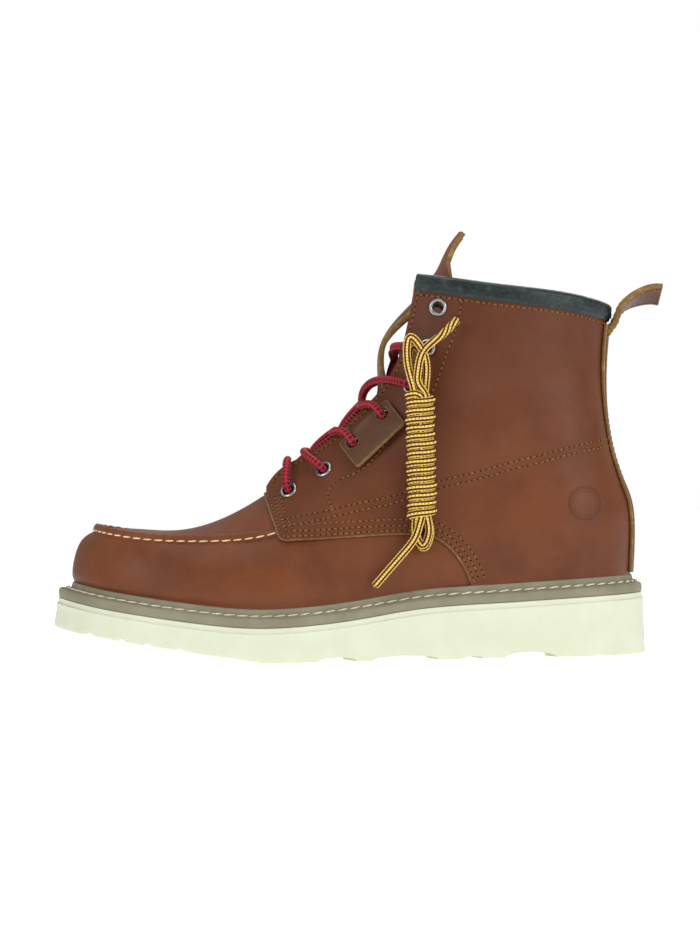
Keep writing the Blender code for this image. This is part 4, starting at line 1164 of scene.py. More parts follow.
def dressed(ribs, levels, out=0.0):
    """Points this far out on the leather, with its soft creases and dents, and the way out."""
    ribs, levels = np.broadcast_arrays(ribs, levels)
    normal = skin_normal(ribs, levels)
    points = skin(ribs, levels)
    moved = np.zeros(points.shape[:-1])
    for along, up, half_long, half_wide, turn, depth in CREASES:
        dx = points[..., 0] - along_x(along)
        dz = points[..., 2] - up * SOLE_LENGTH
        angle = math.radians(turn)
        length = (dx * math.cos(angle) + dz * math.sin(angle)) / (half_long * SOLE_LENGTH)
        bow = 0.12 * length**2 * half_long * SOLE_LENGTH
        width = dz * math.cos(angle) - dx * math.sin(angle) - bow
        moved += depth * np.exp(-(length**2) - (width / half_wide) ** 2)
    at_edge = np.clip((TOP - levels) / 0.5, 0, 1) * np.clip(levels / 0.6, 0, 1)
    return points + normal * (moved * at_edge)[..., None] + normal * out, normal


# Upper
RIM_ROUND = (  # across the seam as a share of RIM_THICK, rise as a share of RIM_HEIGHT
    (-0.04, 0.22),
    (-0.02, 0.55),
    (0.10, 0.84),
    (0.34, 1.00),
    (0.62, 1.00),
    (0.86, 0.86),
    (1.00, 0.55),
    (1.04, 0.22),
    (1.14, 0.00),
)
SEAM_PITCH = 0.0056


def even_ribs(step=0.05):
    """Ribs all round, from the heel by the lateral side."""
    return -HEEL + np.arange(round(2 * HEEL / step)) * step


def fine_ribs():
    ribs = even_ribs(0.0625)
    close = np.array([side * rib for side in (-1, 1) for rib in (5.03, 5.09)])
    return np.sort(np.concatenate([ribs, close]))


def seam_reach(ribs):
    """Distance round the toe seam from the toe, as the puckers and stitches count it."""
    at = np.linspace(-6, 6, 600)
    points = skin(at, SEAM_LEVEL)
    reach = run_lengths(points)
    reach -= np.interp(0, at, reach)
    return np.interp(ribs, at, reach)


def fine_rim(ribs):
    seam = skin(ribs, SEAM_LEVEL)
    across = unit(skin(ribs, SEAM_LEVEL + 0.3) - seam)
    share = 1 - ease(np.abs(ribs), 4.7, 5.4)[:, None]
    pucker = np.cos(seam_reach(ribs) * 2 * math.pi / SEAM_PITCH)[:, None]
    rise = share * RIM_HEIGHT * (1 + 0.045 * pucker) * (0, 0, 1)
    swell = 0.00012 * pucker * share
    return [seam + across * (RIM_THICK * part + swell) + rise * height for part, height in RIM_ROUND]


def make_vamp():
    """The whole shell: the vamp's face, its raised toe seam, the plug and the lined inside."""
    ribs = fine_ribs()
    low = np.concatenate([np.linspace(0, 1, 8), np.linspace(1.12, 2.88, 16), [2.95, 3.0]])
    high = np.concatenate([np.linspace(3.36, 4.88, 22), [4.95, 5.0]])
    outer = [skirt(ribs, 0.0)]
    outer += [dressed(ribs, level)[0] for level in low]
    outer += fine_rim(ribs)
    outer += [dressed(ribs, level)[0] for level in high]
    inner = [skirt(ribs, -WALL)]
    inner += [offset(ribs, level, -WALL) for level in np.linspace(0, TOP, 26)]
    bm = bmesh.new()
    outer_rows = add_grid(bm, outer, wrap_columns=True)
    outer_faces = len(bm.faces)
    inner_rows = add_grid(bm, inner, wrap_columns=True)
    bm.faces.ensure_lookup_table()
    for face in bm.faces[outer_faces:]:
        face.material_index = 1
    for j in range(len(ribs)):
        k = (j + 1) % len(ribs)
        bottom = outer_rows[0][j], outer_rows[0][k], inner_rows[0][k], inner_rows[0][j]
        bm.faces.new(bottom).material_index = 1
        middle = abs(ribs[j] + ribs[k]) / 2 if k else (abs(ribs[j]) + HEEL) / 2
        if middle > THROAT:
            rim = outer_rows[-1][j], outer_rows[-1][k], inner_rows[-1][k], inner_rows[-1][j]
            bm.faces.new(rim).material_index = 2
    return shape_from(bm, "vamp_and_lining", (LEATHER, LINING, RAW), 50)


QUARTER_CORNER = 4  # the row of QUARTER_EDGE where its front edge meets its lower edge


def quarter_edge_line():
    """The quarter's lower edge in side view, smooth, as x and z in metres."""
    edge = np.array(QUARTER_EDGE)
    return np.column_stack([along_x(edge[:, 0]), edge[:, 1] * HEEL_STACK])


def smooth_edge(line):
    """The quarter's front and lower edges, each smooth, with the corner kept between them."""
    runs = []
    for run in (line[: QUARTER_CORNER + 1], line[QUARTER_CORNER:]):
        reach = run_lengths(run)
        runs.append(spline(reach, run, np.linspace(0, reach[-1], max(8, int(reach[-1] / 0.002)))))
    return np.vstack([runs[0], runs[1][1:]])


def make_quarters():
    """The quarters, one layer that is cut off in side view along its own edge."""
    first = THROAT + 0.03
    ribs = np.linspace(first, 2 * HEEL - first, 200)
    ribs = (ribs + HEEL) % (2 * HEEL) - HEEL
    outer, inner = [skirt(ribs, OVERLAY)], [skirt(ribs, 0.0002)]
    for level in [*np.linspace(0, 4.8, 58), near_top(ribs, 0.0002)]:
        outer.append(dressed(ribs, level, OVERLAY)[0])
        inner.append(dressed(ribs, level, -0.0006)[0])
    bm = bmesh.new()
    add_sheet(bm, np.array(outer), np.array(inner))
    quarters = shape_from(bm, "quarters", (QUARTER_LEATHER, RAW), 50)
    edge = smooth_edge(quarter_edge_line())
    height = sole_top([0.0])[0] + TOE_HEIGHT + 1.3 * SHAFT_RISE
    behind = 0.06
    corners = [(edge[0, 0] - 0.0035, height), *edge, (edge[-1, 0], 0), (behind, 0), (behind, height)]
    bm = bmesh.new()
    add_sweep(bm, [np.array([(x, y, z) for x, z in corners]) for y in (-BALL_WIDTH, BALL_WIDTH)])
    region = shape_from(bm, "quarter_region", (RAW,))
    cut(quarters, region, "INTERSECT", 50)
    paint_thin_edges(quarters, 1)
    return quarters


def make_raw_edges():
    """The quarters' cut edges, skived so that a narrow raw band shows from the side."""
    bm = bmesh.new()
    line = smooth_edge(quarter_edge_line())
    line = line[line[:, 1] > sole_top(line[:, 0]) + LIP_HEIGHT + 0.0006]
    turns = np.arange(8) * 2 * math.pi / 8
    for side in (-1, 1):
        row, out = side_row(line, side, OVERLAY - 0.00035)
        down = unit(np.cross(out, unit(np.gradient(row, axis=0))))
        up, across = np.cos(turns) * 0.00040, np.sin(turns) * 0.00050
        add_sweep(bm, [row[i] + np.outer(up, out[i]) + np.outer(across, down[i]) for i in range(len(row))])
    return on_boot(shape_from(bm, "quarter_raw_edges", (RAW,), 70), "leather")


def paint_thin_edges(obj, index):
    """The faces of the facings' edges: those that look along the sheet and not out of it."""
    ribs = np.concatenate([side * np.linspace(THROAT, CORNER, 300) for side in (-1, 1)])
    edge, outs = skin(ribs, TOP), skin_normal(ribs, TOP - 0.1)
    for polygon in obj.data.polygons:
        gap = ((edge - np.array(polygon.center)) ** 2).sum(axis=1)
        nearest = gap.argmin()
        along_sheet = abs(np.array(polygon.normal) @ outs[nearest]) < 0.6
        if gap[nearest] < 0.0022**2 and along_sheet:
            polygon.material_index = index


def add_hole_cutter(bm, place, out, radius, high, low):
    profile = ((radius, high), (radius, low))
    rows = add_grid(bm, turned(profile, place, out, 20), wrap_rows=True)
    for end in (0, 1):
        bm.faces.new([row[end] for row in rows])


def eyelet_holes():
    """Cutters for the eyelets; the top medial one leaves a backing, as in the photo."""
    bm = bmesh.new()
    for pair, side, place, out in eyelet_places():
        backed = side > 0 and pair == EYELET_PAIRS - 1
        low = -0.0004 if backed else -0.008
        add_hole_cutter(bm, place, out, HOLE_RADIUS - 0.0003, 0.004, low)
    return shape_from(bm, "eyelet_holes", (RAW,))


def make_eyelets():
    """Rolled rings, set through the facing, with the barrel's mouth turned out inside."""
    depth = WALL + OVERLAY + 0.0004
    barrel = HOLE_RADIUS - 0.0006
    profile = [
        (BORE_RADIUS, -depth),
        (barrel + 0.0010, -depth - 0.0004),
        (barrel + 0.0012, -depth),
        (barrel, -depth + 0.0003),
        (barrel, 0.0001),
    ]
    middle, reach = (EYELET_RADIUS + BORE_RADIUS) / 2, (EYELET_RADIUS - BORE_RADIUS) / 2
    for turn in np.radians(np.linspace(-25, 190, 10)):
        profile.append((middle + reach * math.cos(turn), 0.0003 + 0.00085 * math.sin(turn)))
    bm = bmesh.new()
    for _, _, place, out in eyelet_places():
        add_grid(bm, turned(profile, place, out, 28), wrap_rows=True, wrap_columns=True)
    pairs = range(1, EYELET_PAIRS + 1)
    names = [f"eyelet_{side}_{pair}" for side in ("lateral", "medial") for pair in pairs]
    return on_boot(shape_from(bm, "eyelets", (NICKEL,), 60), "nickel", *names)


def make_binding():
    """A padded strip folded over the collar's edge, with a cut end at the throat."""
    ribs = np.linspace(CORNER, 2 * HEEL - CORNER, 150)
    edge = skin(ribs, TOP)
    out = skin_normal(ribs, TOP - 0.1)
    down = unit(np.cross(out, np.gradient(edge, axis=0)))
    outer, inner = OVERLAY + 0.0003, WALL + 0.0003
    thick = BINDING_THICK + 0.0004
    middle, reach = (outer - inner) / 2, (outer + inner) / 2 + thick
    profile = [  # out from the edge, down from it
        (outer, BINDING_HEIGHT),
        (outer + 0.0006, BINDING_HEIGHT + 0.0002),
        (outer + thick + 0.0003, 0.0040),
        (outer + thick + 0.0003, 0.0062),  # the lower edge turns back on itself here
    ]
    for turn in np.radians(np.linspace(0, 180, 15)):
        profile.append((middle + reach * math.cos(turn), 0.0016 - (thick + 0.0012) * math.sin(turn)))
    profile += [
        (-inner - thick, 0.0040),
        (-inner - thick, 0.0062),
        (-inner - 0.0004, BINDING_HEIGHT),
        (-inner, BINDING_HEIGHT),
        (-inner, 0.0001),
        (outer, 0.0001),
    ]
    bm = bmesh.new()
    add_sweep(bm, [[edge[i] + out[i] * a + down[i] * b for a, b in profile] for i in range(len(ribs))])
    piece = shape_from(bm, "collar_binding_leather", (BINDING, RAW), 50)
    for polygon in piece.data.polygons:
        if len(polygon.vertices) > 4:
            polygon.material_index = 1
    on_boot(piece, "dark_leather", "collar_binding")
    return edge, out, down


def sheet_piece(name, outer, inner, node, finishes, bevel=0.0004):
    """A cut strap or tongue; the faces along its border, as deep as it is thick, are raw."""
    bm = bmesh.new()
    add_sheet(bm, outer, inner)
    piece = shape_from(bm, name, finishes, 50)
    border = np.concatenate([outer[0], outer[-1], outer[:, 0], outer[:, -1]])
    thick = np.linalg.norm(outer[0, 0] - inner[0, 0])
    for polygon in piece.data.polygons:
        points = [piece.data.vertices[i].co for i in polygon.vertices]
        sides = sorted((points[i] - points[i - 1]).length for i in range(len(points)))
        deep = any(abs(side - thick) < 0.12 * thick for side in sides[-3:])
        gap = np.linalg.norm(border - np.array(polygon.center), axis=1).min()
        if len(points) == 4 and deep and gap < 0.0022:
            polygon.material_index = 1
    rounded(piece, bevel, 2, 50, 50, raw=1)
    return on_boot(piece, "leather", node)


def make_backstay():
    levels = np.linspace(0.0, 4.72, 60)
    across = np.linspace(-1, 1, 15)
    ribs = HEEL + np.outer(near_heel_reach(levels), across)
    grid = np.broadcast_to(levels[:, None], ribs.shape)
    under = OVERLAY + CLEARANCE
    outer = offset(ribs, grid, under + BACKSTAY_THICK)
    inner = offset(ribs, grid, under)
    outer[0, :, 2] += CLEARANCE + 0.0004
    inner[0, :, 2] += CLEARANCE + 0.0004
    return sheet_piece("backstay_strip", outer, inner, "backstay", (LEATHER, RAW))


def make_tongue():
    outer, inner = tongue_sections(90, np.linspace(-1, 1, 25))
    return sheet_piece("tongue_leather", outer, inner, "tongue", (LEATHER, RAW), 0.0005)


def make_pull_loop():
    """A strap folded double, sewn in under the backstay's top, that stands out behind."""
    back = skin(np.array([float(HEEL)]), np.array([float(TOP)]))[0]
    rows = np.array(PULL_LOOP)
    root = rows[0] + np.array([(-0.0042, -0.0065, 0.0), (-0.0022, -0.0030, 0.0)])
    rows = np.vstack([root, rows])
    found = spline(np.arange(len(rows)), rows, np.linspace(0, len(rows) - 1, 48))
    base = OVERLAY + BINDING_THICK
    centre = np.column_stack([back[0] + base + found[:, 0], 0 * found[:, 0], back[2] + found[:, 1]])
    ahead = unit(np.gradient(centre, axis=0))
    outer, inner = [], []
    for point, direction, twist in zip(centre, ahead, np.radians(found[:, 2])):
        across = np.array(Matrix.Rotation(-twist, 3, Vector(direction)) @ Vector((0, 1, 0)))
        normal = np.cross(direction, across)
        line = np.outer(np.linspace(-1, 1, 9), across) * LOOP_WIDTH / 2
        outer.append(point + line + normal * LOOP_THICK / 2)
        inner.append(point + line - normal * LOOP_THICK / 2)
    outer, inner = np.array(outer), np.array(inner)
    sheet_piece("pull_loop_strap", outer, inner, "pull_loop", (PATCH_LEATHER, RAW))
    out = unit(outer[:, 4] - inner[:, 4])
    rows = []
    for share in (-0.80, 0.80):
        for face, way in ((outer, out), (inner, -out)):
            line = face[:, 4] + (face[:, -1] - face[:, 4]) * share
            rows.append((line[4:-2], way[4:-2]))
    return rows


def make_patch():
    """The plain leather label that the lace holds over two lateral eyelets."""
    places = [(place, out) for pair, side, place, out in eyelet_places() if under_patch(pair, side)]
    middle = (places[0][0] + places[1][0]) / 2
    out = unit(places[0][1] + places[1][1])
    length = unit(places[1][0] - places[0][0])
    out = unit(out - length * np.dot(out, length))
    width = np.cross(out, length)
    centre = middle + out * (PATCH_LIFT + PATCH_THICK / 2)
    down = width * -np.sign(width[2])
    frame = Matrix((length, width, out)).transposed().to_4x4()
    frame.translation = Vector(centre + down * PATCH_DROP)
    bm = bmesh.new()
    bmesh.ops.create_cube(bm, size=1.0)
    corners = [e for e in bm.edges if abs(e.verts[0].co.z - e.verts[1].co.z) > 0.5]
    size = Matrix.Diagonal((PATCH_LENGTH, PATCH_WIDTH, PATCH_THICK, 1))
    bmesh.ops.transform(bm, matrix=size, verts=bm.verts)
    bmesh.ops.bevel(bm, geom=corners, offset=0.0016, segments=4, affect="EDGES", profile=0.5)
    for face in bm.faces:
        face.material_index = 1 if abs(face.normal.z) < 0.5 else 0
    bmesh.ops.transform(bm, matrix=frame, verts=bm.verts)
    patch = shape_from(bm, "lace_patch_leather", (PATCH_LEATHER, RAW), 40)
    bm = bmesh.new()
    for place, _ in places:
        add_hole_cutter(bm, place, out, HOLE_RADIUS, 0.009, -0.004)
    cut(patch, shape_from(bm, "patch_holes", (RAW,)))
    rounded(patch, 0.0004, 2, 50, raw=1)
    return on_boot(patch, "leather", "lace_patch")


# Laces
def lace_mesh(bm, uv, points, diameter, sides=14, facing=None):
    """A round cord through the points, with its turn and length as UV; turn 0 looks along facing."""
    points = np.asarray(points, float)
    ahead = unit(np.gradient(points, axis=0))
    reach = run_lengths(points)
    across = np.cross(ahead[0], (0.37, 0.11, 0.92))
    rings = []
    for i, (point, direction) in enumerate(zip(points, ahead)):
        across = unit(across - direction * np.dot(across, direction))
        if facing is not None:
            wanted = facing[i] - direction * np.dot(facing[i], direction)
            across = unit(across + wanted * 0.35)
        other = np.cross(direction, across)
        turns = np.arange(sides) * 2 * math.pi / sides
        ring = np.outer(np.cos(turns), across) + np.outer(np.sin(turns), other)
        rings.append([bm.verts.new(p) for p in point + ring * diameter / 2])
    for i in range(len(rings) - 1):
        for j in range(sides):
            k = (j + 1) % sides
            face = bm.faces.new((rings[i][j], rings[i][k], rings[i + 1][k], rings[i + 1][j]))
            for loop, turn, at in zip(face.loops, (j, j + 1, j + 1, j), (i, i, i + 1, i + 1)):
                loop[uv].uv = (turn / sides, reach[at])
            face.smooth = True
    for ring, way, at in ((rings[0], -ahead[0], 0), (rings[-1], ahead[-1], -1)):
        tip = bm.verts.new(points[at] + way * diameter * 0.22)
        for j in range(sides):
            face = bm.faces.new((ring[j], ring[(j + 1) % sides], tip))
            for loop in face.loops:
                loop[uv].uv = (j / sides, reach[at])


def cord_object(name, routes, diameter, finish_used, sides=14, facing=None):
    bm = bmesh.new()
    uv = bm.loops.layers.uv.new("braid")
    for points in routes:
        lace_mesh(bm, uv, points, diameter, sides, facing)
    bmesh.ops.recalc_face_normals(bm, faces=bm.faces)
    lace = object_of(bm, name)
    lace.data.materials.append(finish_used)
    lace.data.shade_smooth()
    return lace


# How far each pair's strand leans towards the toe on its way to the facing's edge
LACE_LEAN = (-0.0060, 0.0060, 0.0062, 0.0062, 0.0066, 0.0050, 0.0)


def make_laces():
    """A bar over the lowest pair, then crossings that come up from under each facing."""
    places = {(pair, side): (place, out) for pair, side, place, out in eyelet_places()}
    edges = {}
    for (pair, side), (place, out) in places.items():
        lower = places[pair - 1, side][0] if pair else 2 * place - places[1, side][0]
        leaning = {(pair, side): (place + unit(lower - place) * LACE_LEAN[pair], out)}
        edges[pair, side] = edge_point((pair, side), leaning)
    crown = [lace_crown(row) for row in LACE_CROWN]
    crown[4] = crown[4] + np.array([-0.0005, 0, -0.0062])
    bar = [*over_facing(0, -1, places, edges), crown[0], *over_facing(0, 1, places, edges)[::-1]]
    routes = [smooth_route(bar, 60)]
    for pair in range(EYELET_PAIRS - 2):
        for side in (-1, 1):
            place, out = places[pair, side]
            route = [
                place - out * 0.0022,
                place - out * (WALL + OVERLAY + LACE / 2 + 0.0012),
                under_edge(edges[pair, side]),
                crown[pair + 1] + np.array([0, 0, 0.0012 * side]),
                *over_facing(pair + 1, -side, places, edges)[::-1],
            ]
            routes.append(smooth_route(route, 60))
    nodes = ["lace_bar"] + [f"lace_crossing_{pair + 1}" for pair in range(EYELET_PAIRS - 2)]
    return on_boot(cord_object("laces", routes, LACE + 0.0004, RED, 14), "red_lace", *nodes)


def make_spare_lace():
    """One lace from its upper end, down and up through the hank, round it, to its lower end."""
    x, y = along_x(HANK_PLACE[0]), -HANK_PLACE[1]
    width = SPARE_LACE + 0.0004

    def at(name):
        return [np.array((along_x(along), -out, height)) for along, out, height in SPARE_CORDS[name]]

    def strand(dx, dy, first, last):
        return [np.array((x + dx, y + dy, z)) for z in np.linspace(first, last, 6)]

    def loop(points, *moved):
        return [point + np.array(moved) for point in points[1:-1]]

    top, low = 0.1330, 0.0730  # the straight strands inside the hank
    top_loop, low_loop = at("spare_lace_top_loop"), at("spare_lace_low_loop")
    parts = at("spare_lace_top_end")[::-1]
    parts += strand(0.0022, -0.0016, top, low)
    parts += loop(low_loop, 0.0, -0.00102, 0.0)
    parts += strand(-0.0026, -0.0016, low, top)
    parts += loop(top_loop, 0.0, -0.0034, 0.0)
    parts += strand(0.0024, 0.0012, top, low)
    parts += loop(low_loop, 0.0006, 0.0006, -0.0012)
    parts += strand(-0.0024, 0.0012, low, top)
    parts += loop(top_loop, 0.00112, 0.0003, -0.0040)
    parts += strand(0.0, 0.0008, top, low + 0.004)
    first_turn = len(parts)
    turns, pitch, start = 14.5, 0.00425, 0.0712
    across, deep = (HANK_WIDTH - width) / 2, (HANK_DEPTH - width) / 2
    for turn in np.arange(0.0, turns, 1 / 20):
        angle = 2 * math.pi * turn + math.pi / 2
        wobble = 0.00022 * math.sin(turn * 2.3) + 0.00018 * math.sin(turn * 5.1)
        round_it = np.array((math.cos(angle), math.sin(angle)))
        round_it = np.sign(round_it) * np.abs(round_it) ** 0.82
        dx, dy = round_it * (across + wobble, deep + wobble)
        parts.append(np.array((x + dx, y + dy, start + turn * pitch)))
    last_turn = len(parts)
    parts.append(np.array((x + 0.001, y - 0.001, parts[-1][2] - 0.003)))
    parts += strand(0.0002, -0.0022, top - 0.010, low)
    parts += at("spare_lace_low_end")
    rough = np.array(parts)
    apart = np.concatenate([[True], np.linalg.norm(np.diff(rough, axis=0), axis=1) > 0.0003])
    wound = np.zeros(len(parts))
    wound[first_turn:last_turn] = 1
    rough, wound = rough[apart], wound[apart]
    reach = run_lengths(rough)
    even = np.linspace(0, reach[-1], int(reach[-1] / 0.0012))
    route = spline(reach, rough, even)
    outward = unit((route - (x, y, 0)) * (1, 1, 0) + (0, -1e-6, 0))
    wound = (np.interp(even, reach, wound) > 0.5)[:, None]
    facing = np.where(wound, outward, (0.0, -1.0, 0.0))
    lace = cord_object("spare_lace", [route], width, STRIPED, 18, facing)
    on_boot(lace, "yellow_lace", "spare_lace_hank", *SPARE_CORDS)


# Sole
def make_outsole():
    """The foam sole: straight sides with a faint ledge, a soft bottom edge and a waved tread."""
    ribs = even_ribs()
    flare = SOLE_FLARE + TOE_FLARE * (1 - ease(np.abs(ribs), 1, 4))
    soft = 0.0013  # height of the rounded bottom edge
    rings = [  # inset, share of the way up the side, height above that
        (SOLE_CHAMFER * 1.5 - flare, 0, 0.0),
        (SOLE_CHAMFER * 0.55 - flare, 0, 0.0002),
        (SOLE_CHAMFER * 0.15 - flare, 0, 0.0006),
        (-flare, 0, soft),
    ]
    for share in (0.3, 0.6, 0.85):
        rings.append((share * flare * 0.72 - flare, share, soft * (1 - share) - LEDGE_DROP * share))
    rings += [
        (-LEDGE_STEP - flare / 4, 1, -LEDGE_DROP),
        (-LEDGE_STEP * 0.75 - flare / 4, 1, 0.00025 - LEDGE_DROP),
        (0.00005 - flare * 0.1, 1, 0.0006 - LEDGE_DROP),
        (0.0, 1, -0.0003),
        (0.0002, 1, -0.00006),
        (0.0006, 1, 0.0),
    ]
    bm = bmesh.new()
    add_plate(bm, rings, ribs)
    piece = shape_from(bm, "wedge_sole", (CREAM,), 30)
    across = np.linspace(-0.62, 0.62, 41) * BALL_WIDTH
    turns = np.radians(np.linspace(180, 0, 15))
    bm = bmesh.new()
    for start, end, depth in GROOVES:
        wave = GROOVE_WAVE * np.sin(across / BALL_WIDTH * 3 * math.pi) * min(1.0, (end - start) / 0.03)
        first, last = along_x([start, end])
        x = (first + last) / 2 + np.cos(turns) * (last - first) / 2
        x = np.concatenate([[first], x, [last]])
        lift = np.concatenate([[-0.004], depth * np.sin(turns) ** 0.8, [-0.004]]) - 1e-5
        z = sole_bottom(np.clip(x, along_x(0), along_x(1))) + lift
        add_sweep(bm, [np.column_stack([x + dx, 0 * x + y, z]) for y, dx in zip(across, wave)])
    cut(piece, shape_from(bm, "tread_grooves", (CREAM,)), "DIFFERENCE", 30)
    on_boot(piece, "cream_rubber", "outsole")


def welt_profile(ribs):
    """Inset from the sole's edge and height: band, groove, channel and bead at the upper."""
    inner = side_column(ribs, 0) * WELT_REACH + WELT_SHELF
    wall = lip_inset(ribs) - CLEARANCE * 0.4
    bead = wall - LIP_THICK * 0.6
    return (
        (inner, CLEARANCE * 0.3),
        (0.0006, CLEARANCE * 0.3),
        (0.0001, 0.0006),
        (0.0, 0.0014),
        (0.0, 0.0034),
        (0.0003, 0.0043),
        (0.0010, 0.0049),
        (0.0015, 0.0050),
        (0.0019, 0.0038),
        (0.0024, 0.0052),
        (bead - 0.0015, 0.0060),
        (bead - 0.0007, 0.0062),
        (bead - 0.0004, 0.0075),
        (bead - 0.0002, LIP_HEIGHT - 0.0008),
        (bead + 0.0002, LIP_HEIGHT - 0.0002),
        (bead + 0.0005, LIP_HEIGHT),
        (wall, LIP_HEIGHT - 0.0006),
        (wall, WELT_THICK),
        (inner, WELT_THICK),
    )


CHANNEL = 9  # the row of the welt's profile where the channel for the stitches starts


def make_welt():
    ribs = even_ribs()
    rings = []
    for inset, height in welt_profile(ribs):
        plan = outline(ribs, inset)
        rings.append(np.column_stack([plan, sole_top(plan[:, 0]) + height]))
    bm = bmesh.new()
    add_grid(bm, rings, wrap_rows=True, wrap_columns=True)
    on_boot(shape_from(bm, "welt_strip", (TAUPE,), 50), "taupe_rubber", "welt")
    low, high = (np.vstack([ring, ring[:1]]) for ring in rings[CHANNEL : CHANNEL + 2])
    line = low * 0.42 + high * 0.58
    out = unit(np.cross(high - low, unit(np.gradient(line, axis=0))))
    out *= np.sign(out[:, 2:3])
    rows = [(line + out * 0.00035, out)]
    threads = stitch_rows("welt_stitches", rows, 0.0063, 0.0060, 0.00115, 0.0009, WELT_THREAD, 0.16)
    on_boot(threads, "cream_rubber")


# Rows of stitches, drawn in side view: along and up, as shares of the sole's length
SIDE_SEAM = (
    (0.3893, 0.2356),
    (0.4616, 0.2497),
    (0.5168, 0.2629),
    (0.5575, 0.2706),
    (0.6543, 0.2992),
    (0.7215, 0.3143),
    (0.7662, 0.3264),
    (0.8277, 0.3405),
    (0.8785, 0.3536),
    (0.9272, 0.3627),
    (0.9650, 0.3715),
)
STAY_SEAM = (
    (0.6976, 0.6104),
    (0.6956, 0.5929),
    (0.6835, 0.5449),
    (0.6701, 0.5129),
    (0.6566, 0.4743),
    (0.6499, 0.4585),
    (0.5850, 0.3850),
    (0.5168, 0.3136),
    (0.4859, 0.3002),
    (0.4711, 0.2874),
    (0.4674, 0.2719),
    (0.4721, 0.2568),
)


def in_metres(rows):
    rows = np.array(rows)
    return np.column_stack([along_x(rows[:, 0]), rows[:, 1] * SOLE_LENGTH])


def half_a_pitch_on(row, out, pitch):
    """The same row, started half a pitch later and a little deeper, for the dark beads that paint the
    shade in the needle holes.
    """
    reach = run_lengths(row)
    at = np.linspace(pitch / 2, reach[-1] - pitch / 2, len(row))
    later = np.column_stack([np.interp(at, reach, row[:, i]) for i in range(3)])
    ways = unit(np.column_stack([np.interp(at, reach, out[:, i]) for i in range(3)]))
    return later - ways * 0.00010, ways


TONAL_PITCH = 0.0029
STITCH_LIFT = OVERLAY + 0.00012  # from the vamp's face to the middle of a thread on the quarter


def make_stitches(collar, loop_rows):
    tonal = []
    edge = smooth_edge(quarter_edge_line())
    seam_rows = [shifted(in_metres(SIDE_SEAM), drop) for drop in (0.0, -0.0036)]
    for side in (-1, 1):
        for distance in (0.0016, 0.0042, 0.0072):
            row = shifted(edge, distance)
            over_welt = row[:, 1] > sole_top(row[:, 0]) + LIP_HEIGHT + 0.002
            row = row[over_welt & (row[:, 0] > edge[0, 0] + distance)]
            tonal.append(side_row(row, side, STITCH_LIFT))
        for row in (*seam_rows, in_metres(STAY_SEAM)):
            tonal.append(side_row(row, side, STITCH_LIFT))
        ribs = side * np.linspace(THROAT + 0.25, CORNER - 0.05, 160)
        levels = near_facing(np.abs(ribs), 0.0024)
        normal = skin_normal(ribs, levels)
        tonal.append((skin(ribs, levels) + normal * STITCH_LIFT, normal))
    line, out, down = (part[2:-2] for part in collar)
    tonal.append((line + out * STITCH_LIFT + down * (BINDING_HEIGHT + 0.0018), out))
    levels = np.linspace(0.35, 4.6, 120)
    for share in (-0.78, 0.78):
        ribs = HEEL + near_heel_reach(levels) * share
        normal = skin_normal(ribs, levels)
        lift = OVERLAY + CLEARANCE + BACKSTAY_THICK + 0.0001
        tonal.append((skin(ribs, levels) + normal * lift, normal))
    tonal += loop_rows
    threads = stitch_rows("tonal_stitches", tonal, TONAL_PITCH, 0.0023, 0.0008, 0.0006, TAN_THREAD)
    on_boot(threads, "tan_leather")
    # painted shade: dark beads between the stitches stand for the shade in the needle holes
    between = [half_a_pitch_on(row, out, TONAL_PITCH) for row, out in tonal]
    hole_shades = stitch_rows("painted_hole_shades", between, TONAL_PITCH, 0.0009, 0.0010, 0.00030, HOLE_SHADE)
    on_boot(hole_shades, "leather")
    ribs = np.linspace(-5.3, 5.3, 500)
    ribs = ribs[skin(ribs, SEAM_LEVEL)[:, 0] < quarter_edge_line()[1, 0] + 0.0002]
    seam = skin(ribs, SEAM_LEVEL)
    across = unit(skin(ribs, SEAM_LEVEL + 0.3) - seam) * (1, 1, 0)
    out = unit((0, 0, 0.15) - across)
    rows = [(seam + (0, 0, 0.0009) + out * 0.0003, out)]
    toe = stitch_rows("toe_seam_stitches", rows, SEAM_PITCH, 0.0048, 0.0009, 0.0009, CREAM_THREAD, 0.05)
    on_boot(toe, "cream_rubber")


# Stage
DIM_SKY = 0.42  # how strongly the white background lights the boot
MIDDLE = (-0.12, 0.0, 0.08)
LAMPS = (  # name, place, size, power
    ("heel_softbox", (0.95, -1.05, 0.75), 0.8, 11),
    ("toe_softbox", (-1.25, -1.00, 0.65), 0.7, 7.5),
    ("top_softbox", (-0.1, -0.1, 1.7), 1.2, 9),
    ("back_softbox", (0.3, 1.3, 1.1), 1.0, 7),
)
PIXEL = 0.00051  # metres a pixel at the boot, over the picture's 933 rows
PICTURE_ROWS = 933
CAMERA_PLACE = (-0.1179, -2.0, 0.097)
CAMERA_ROLL = 0.98  # degrees


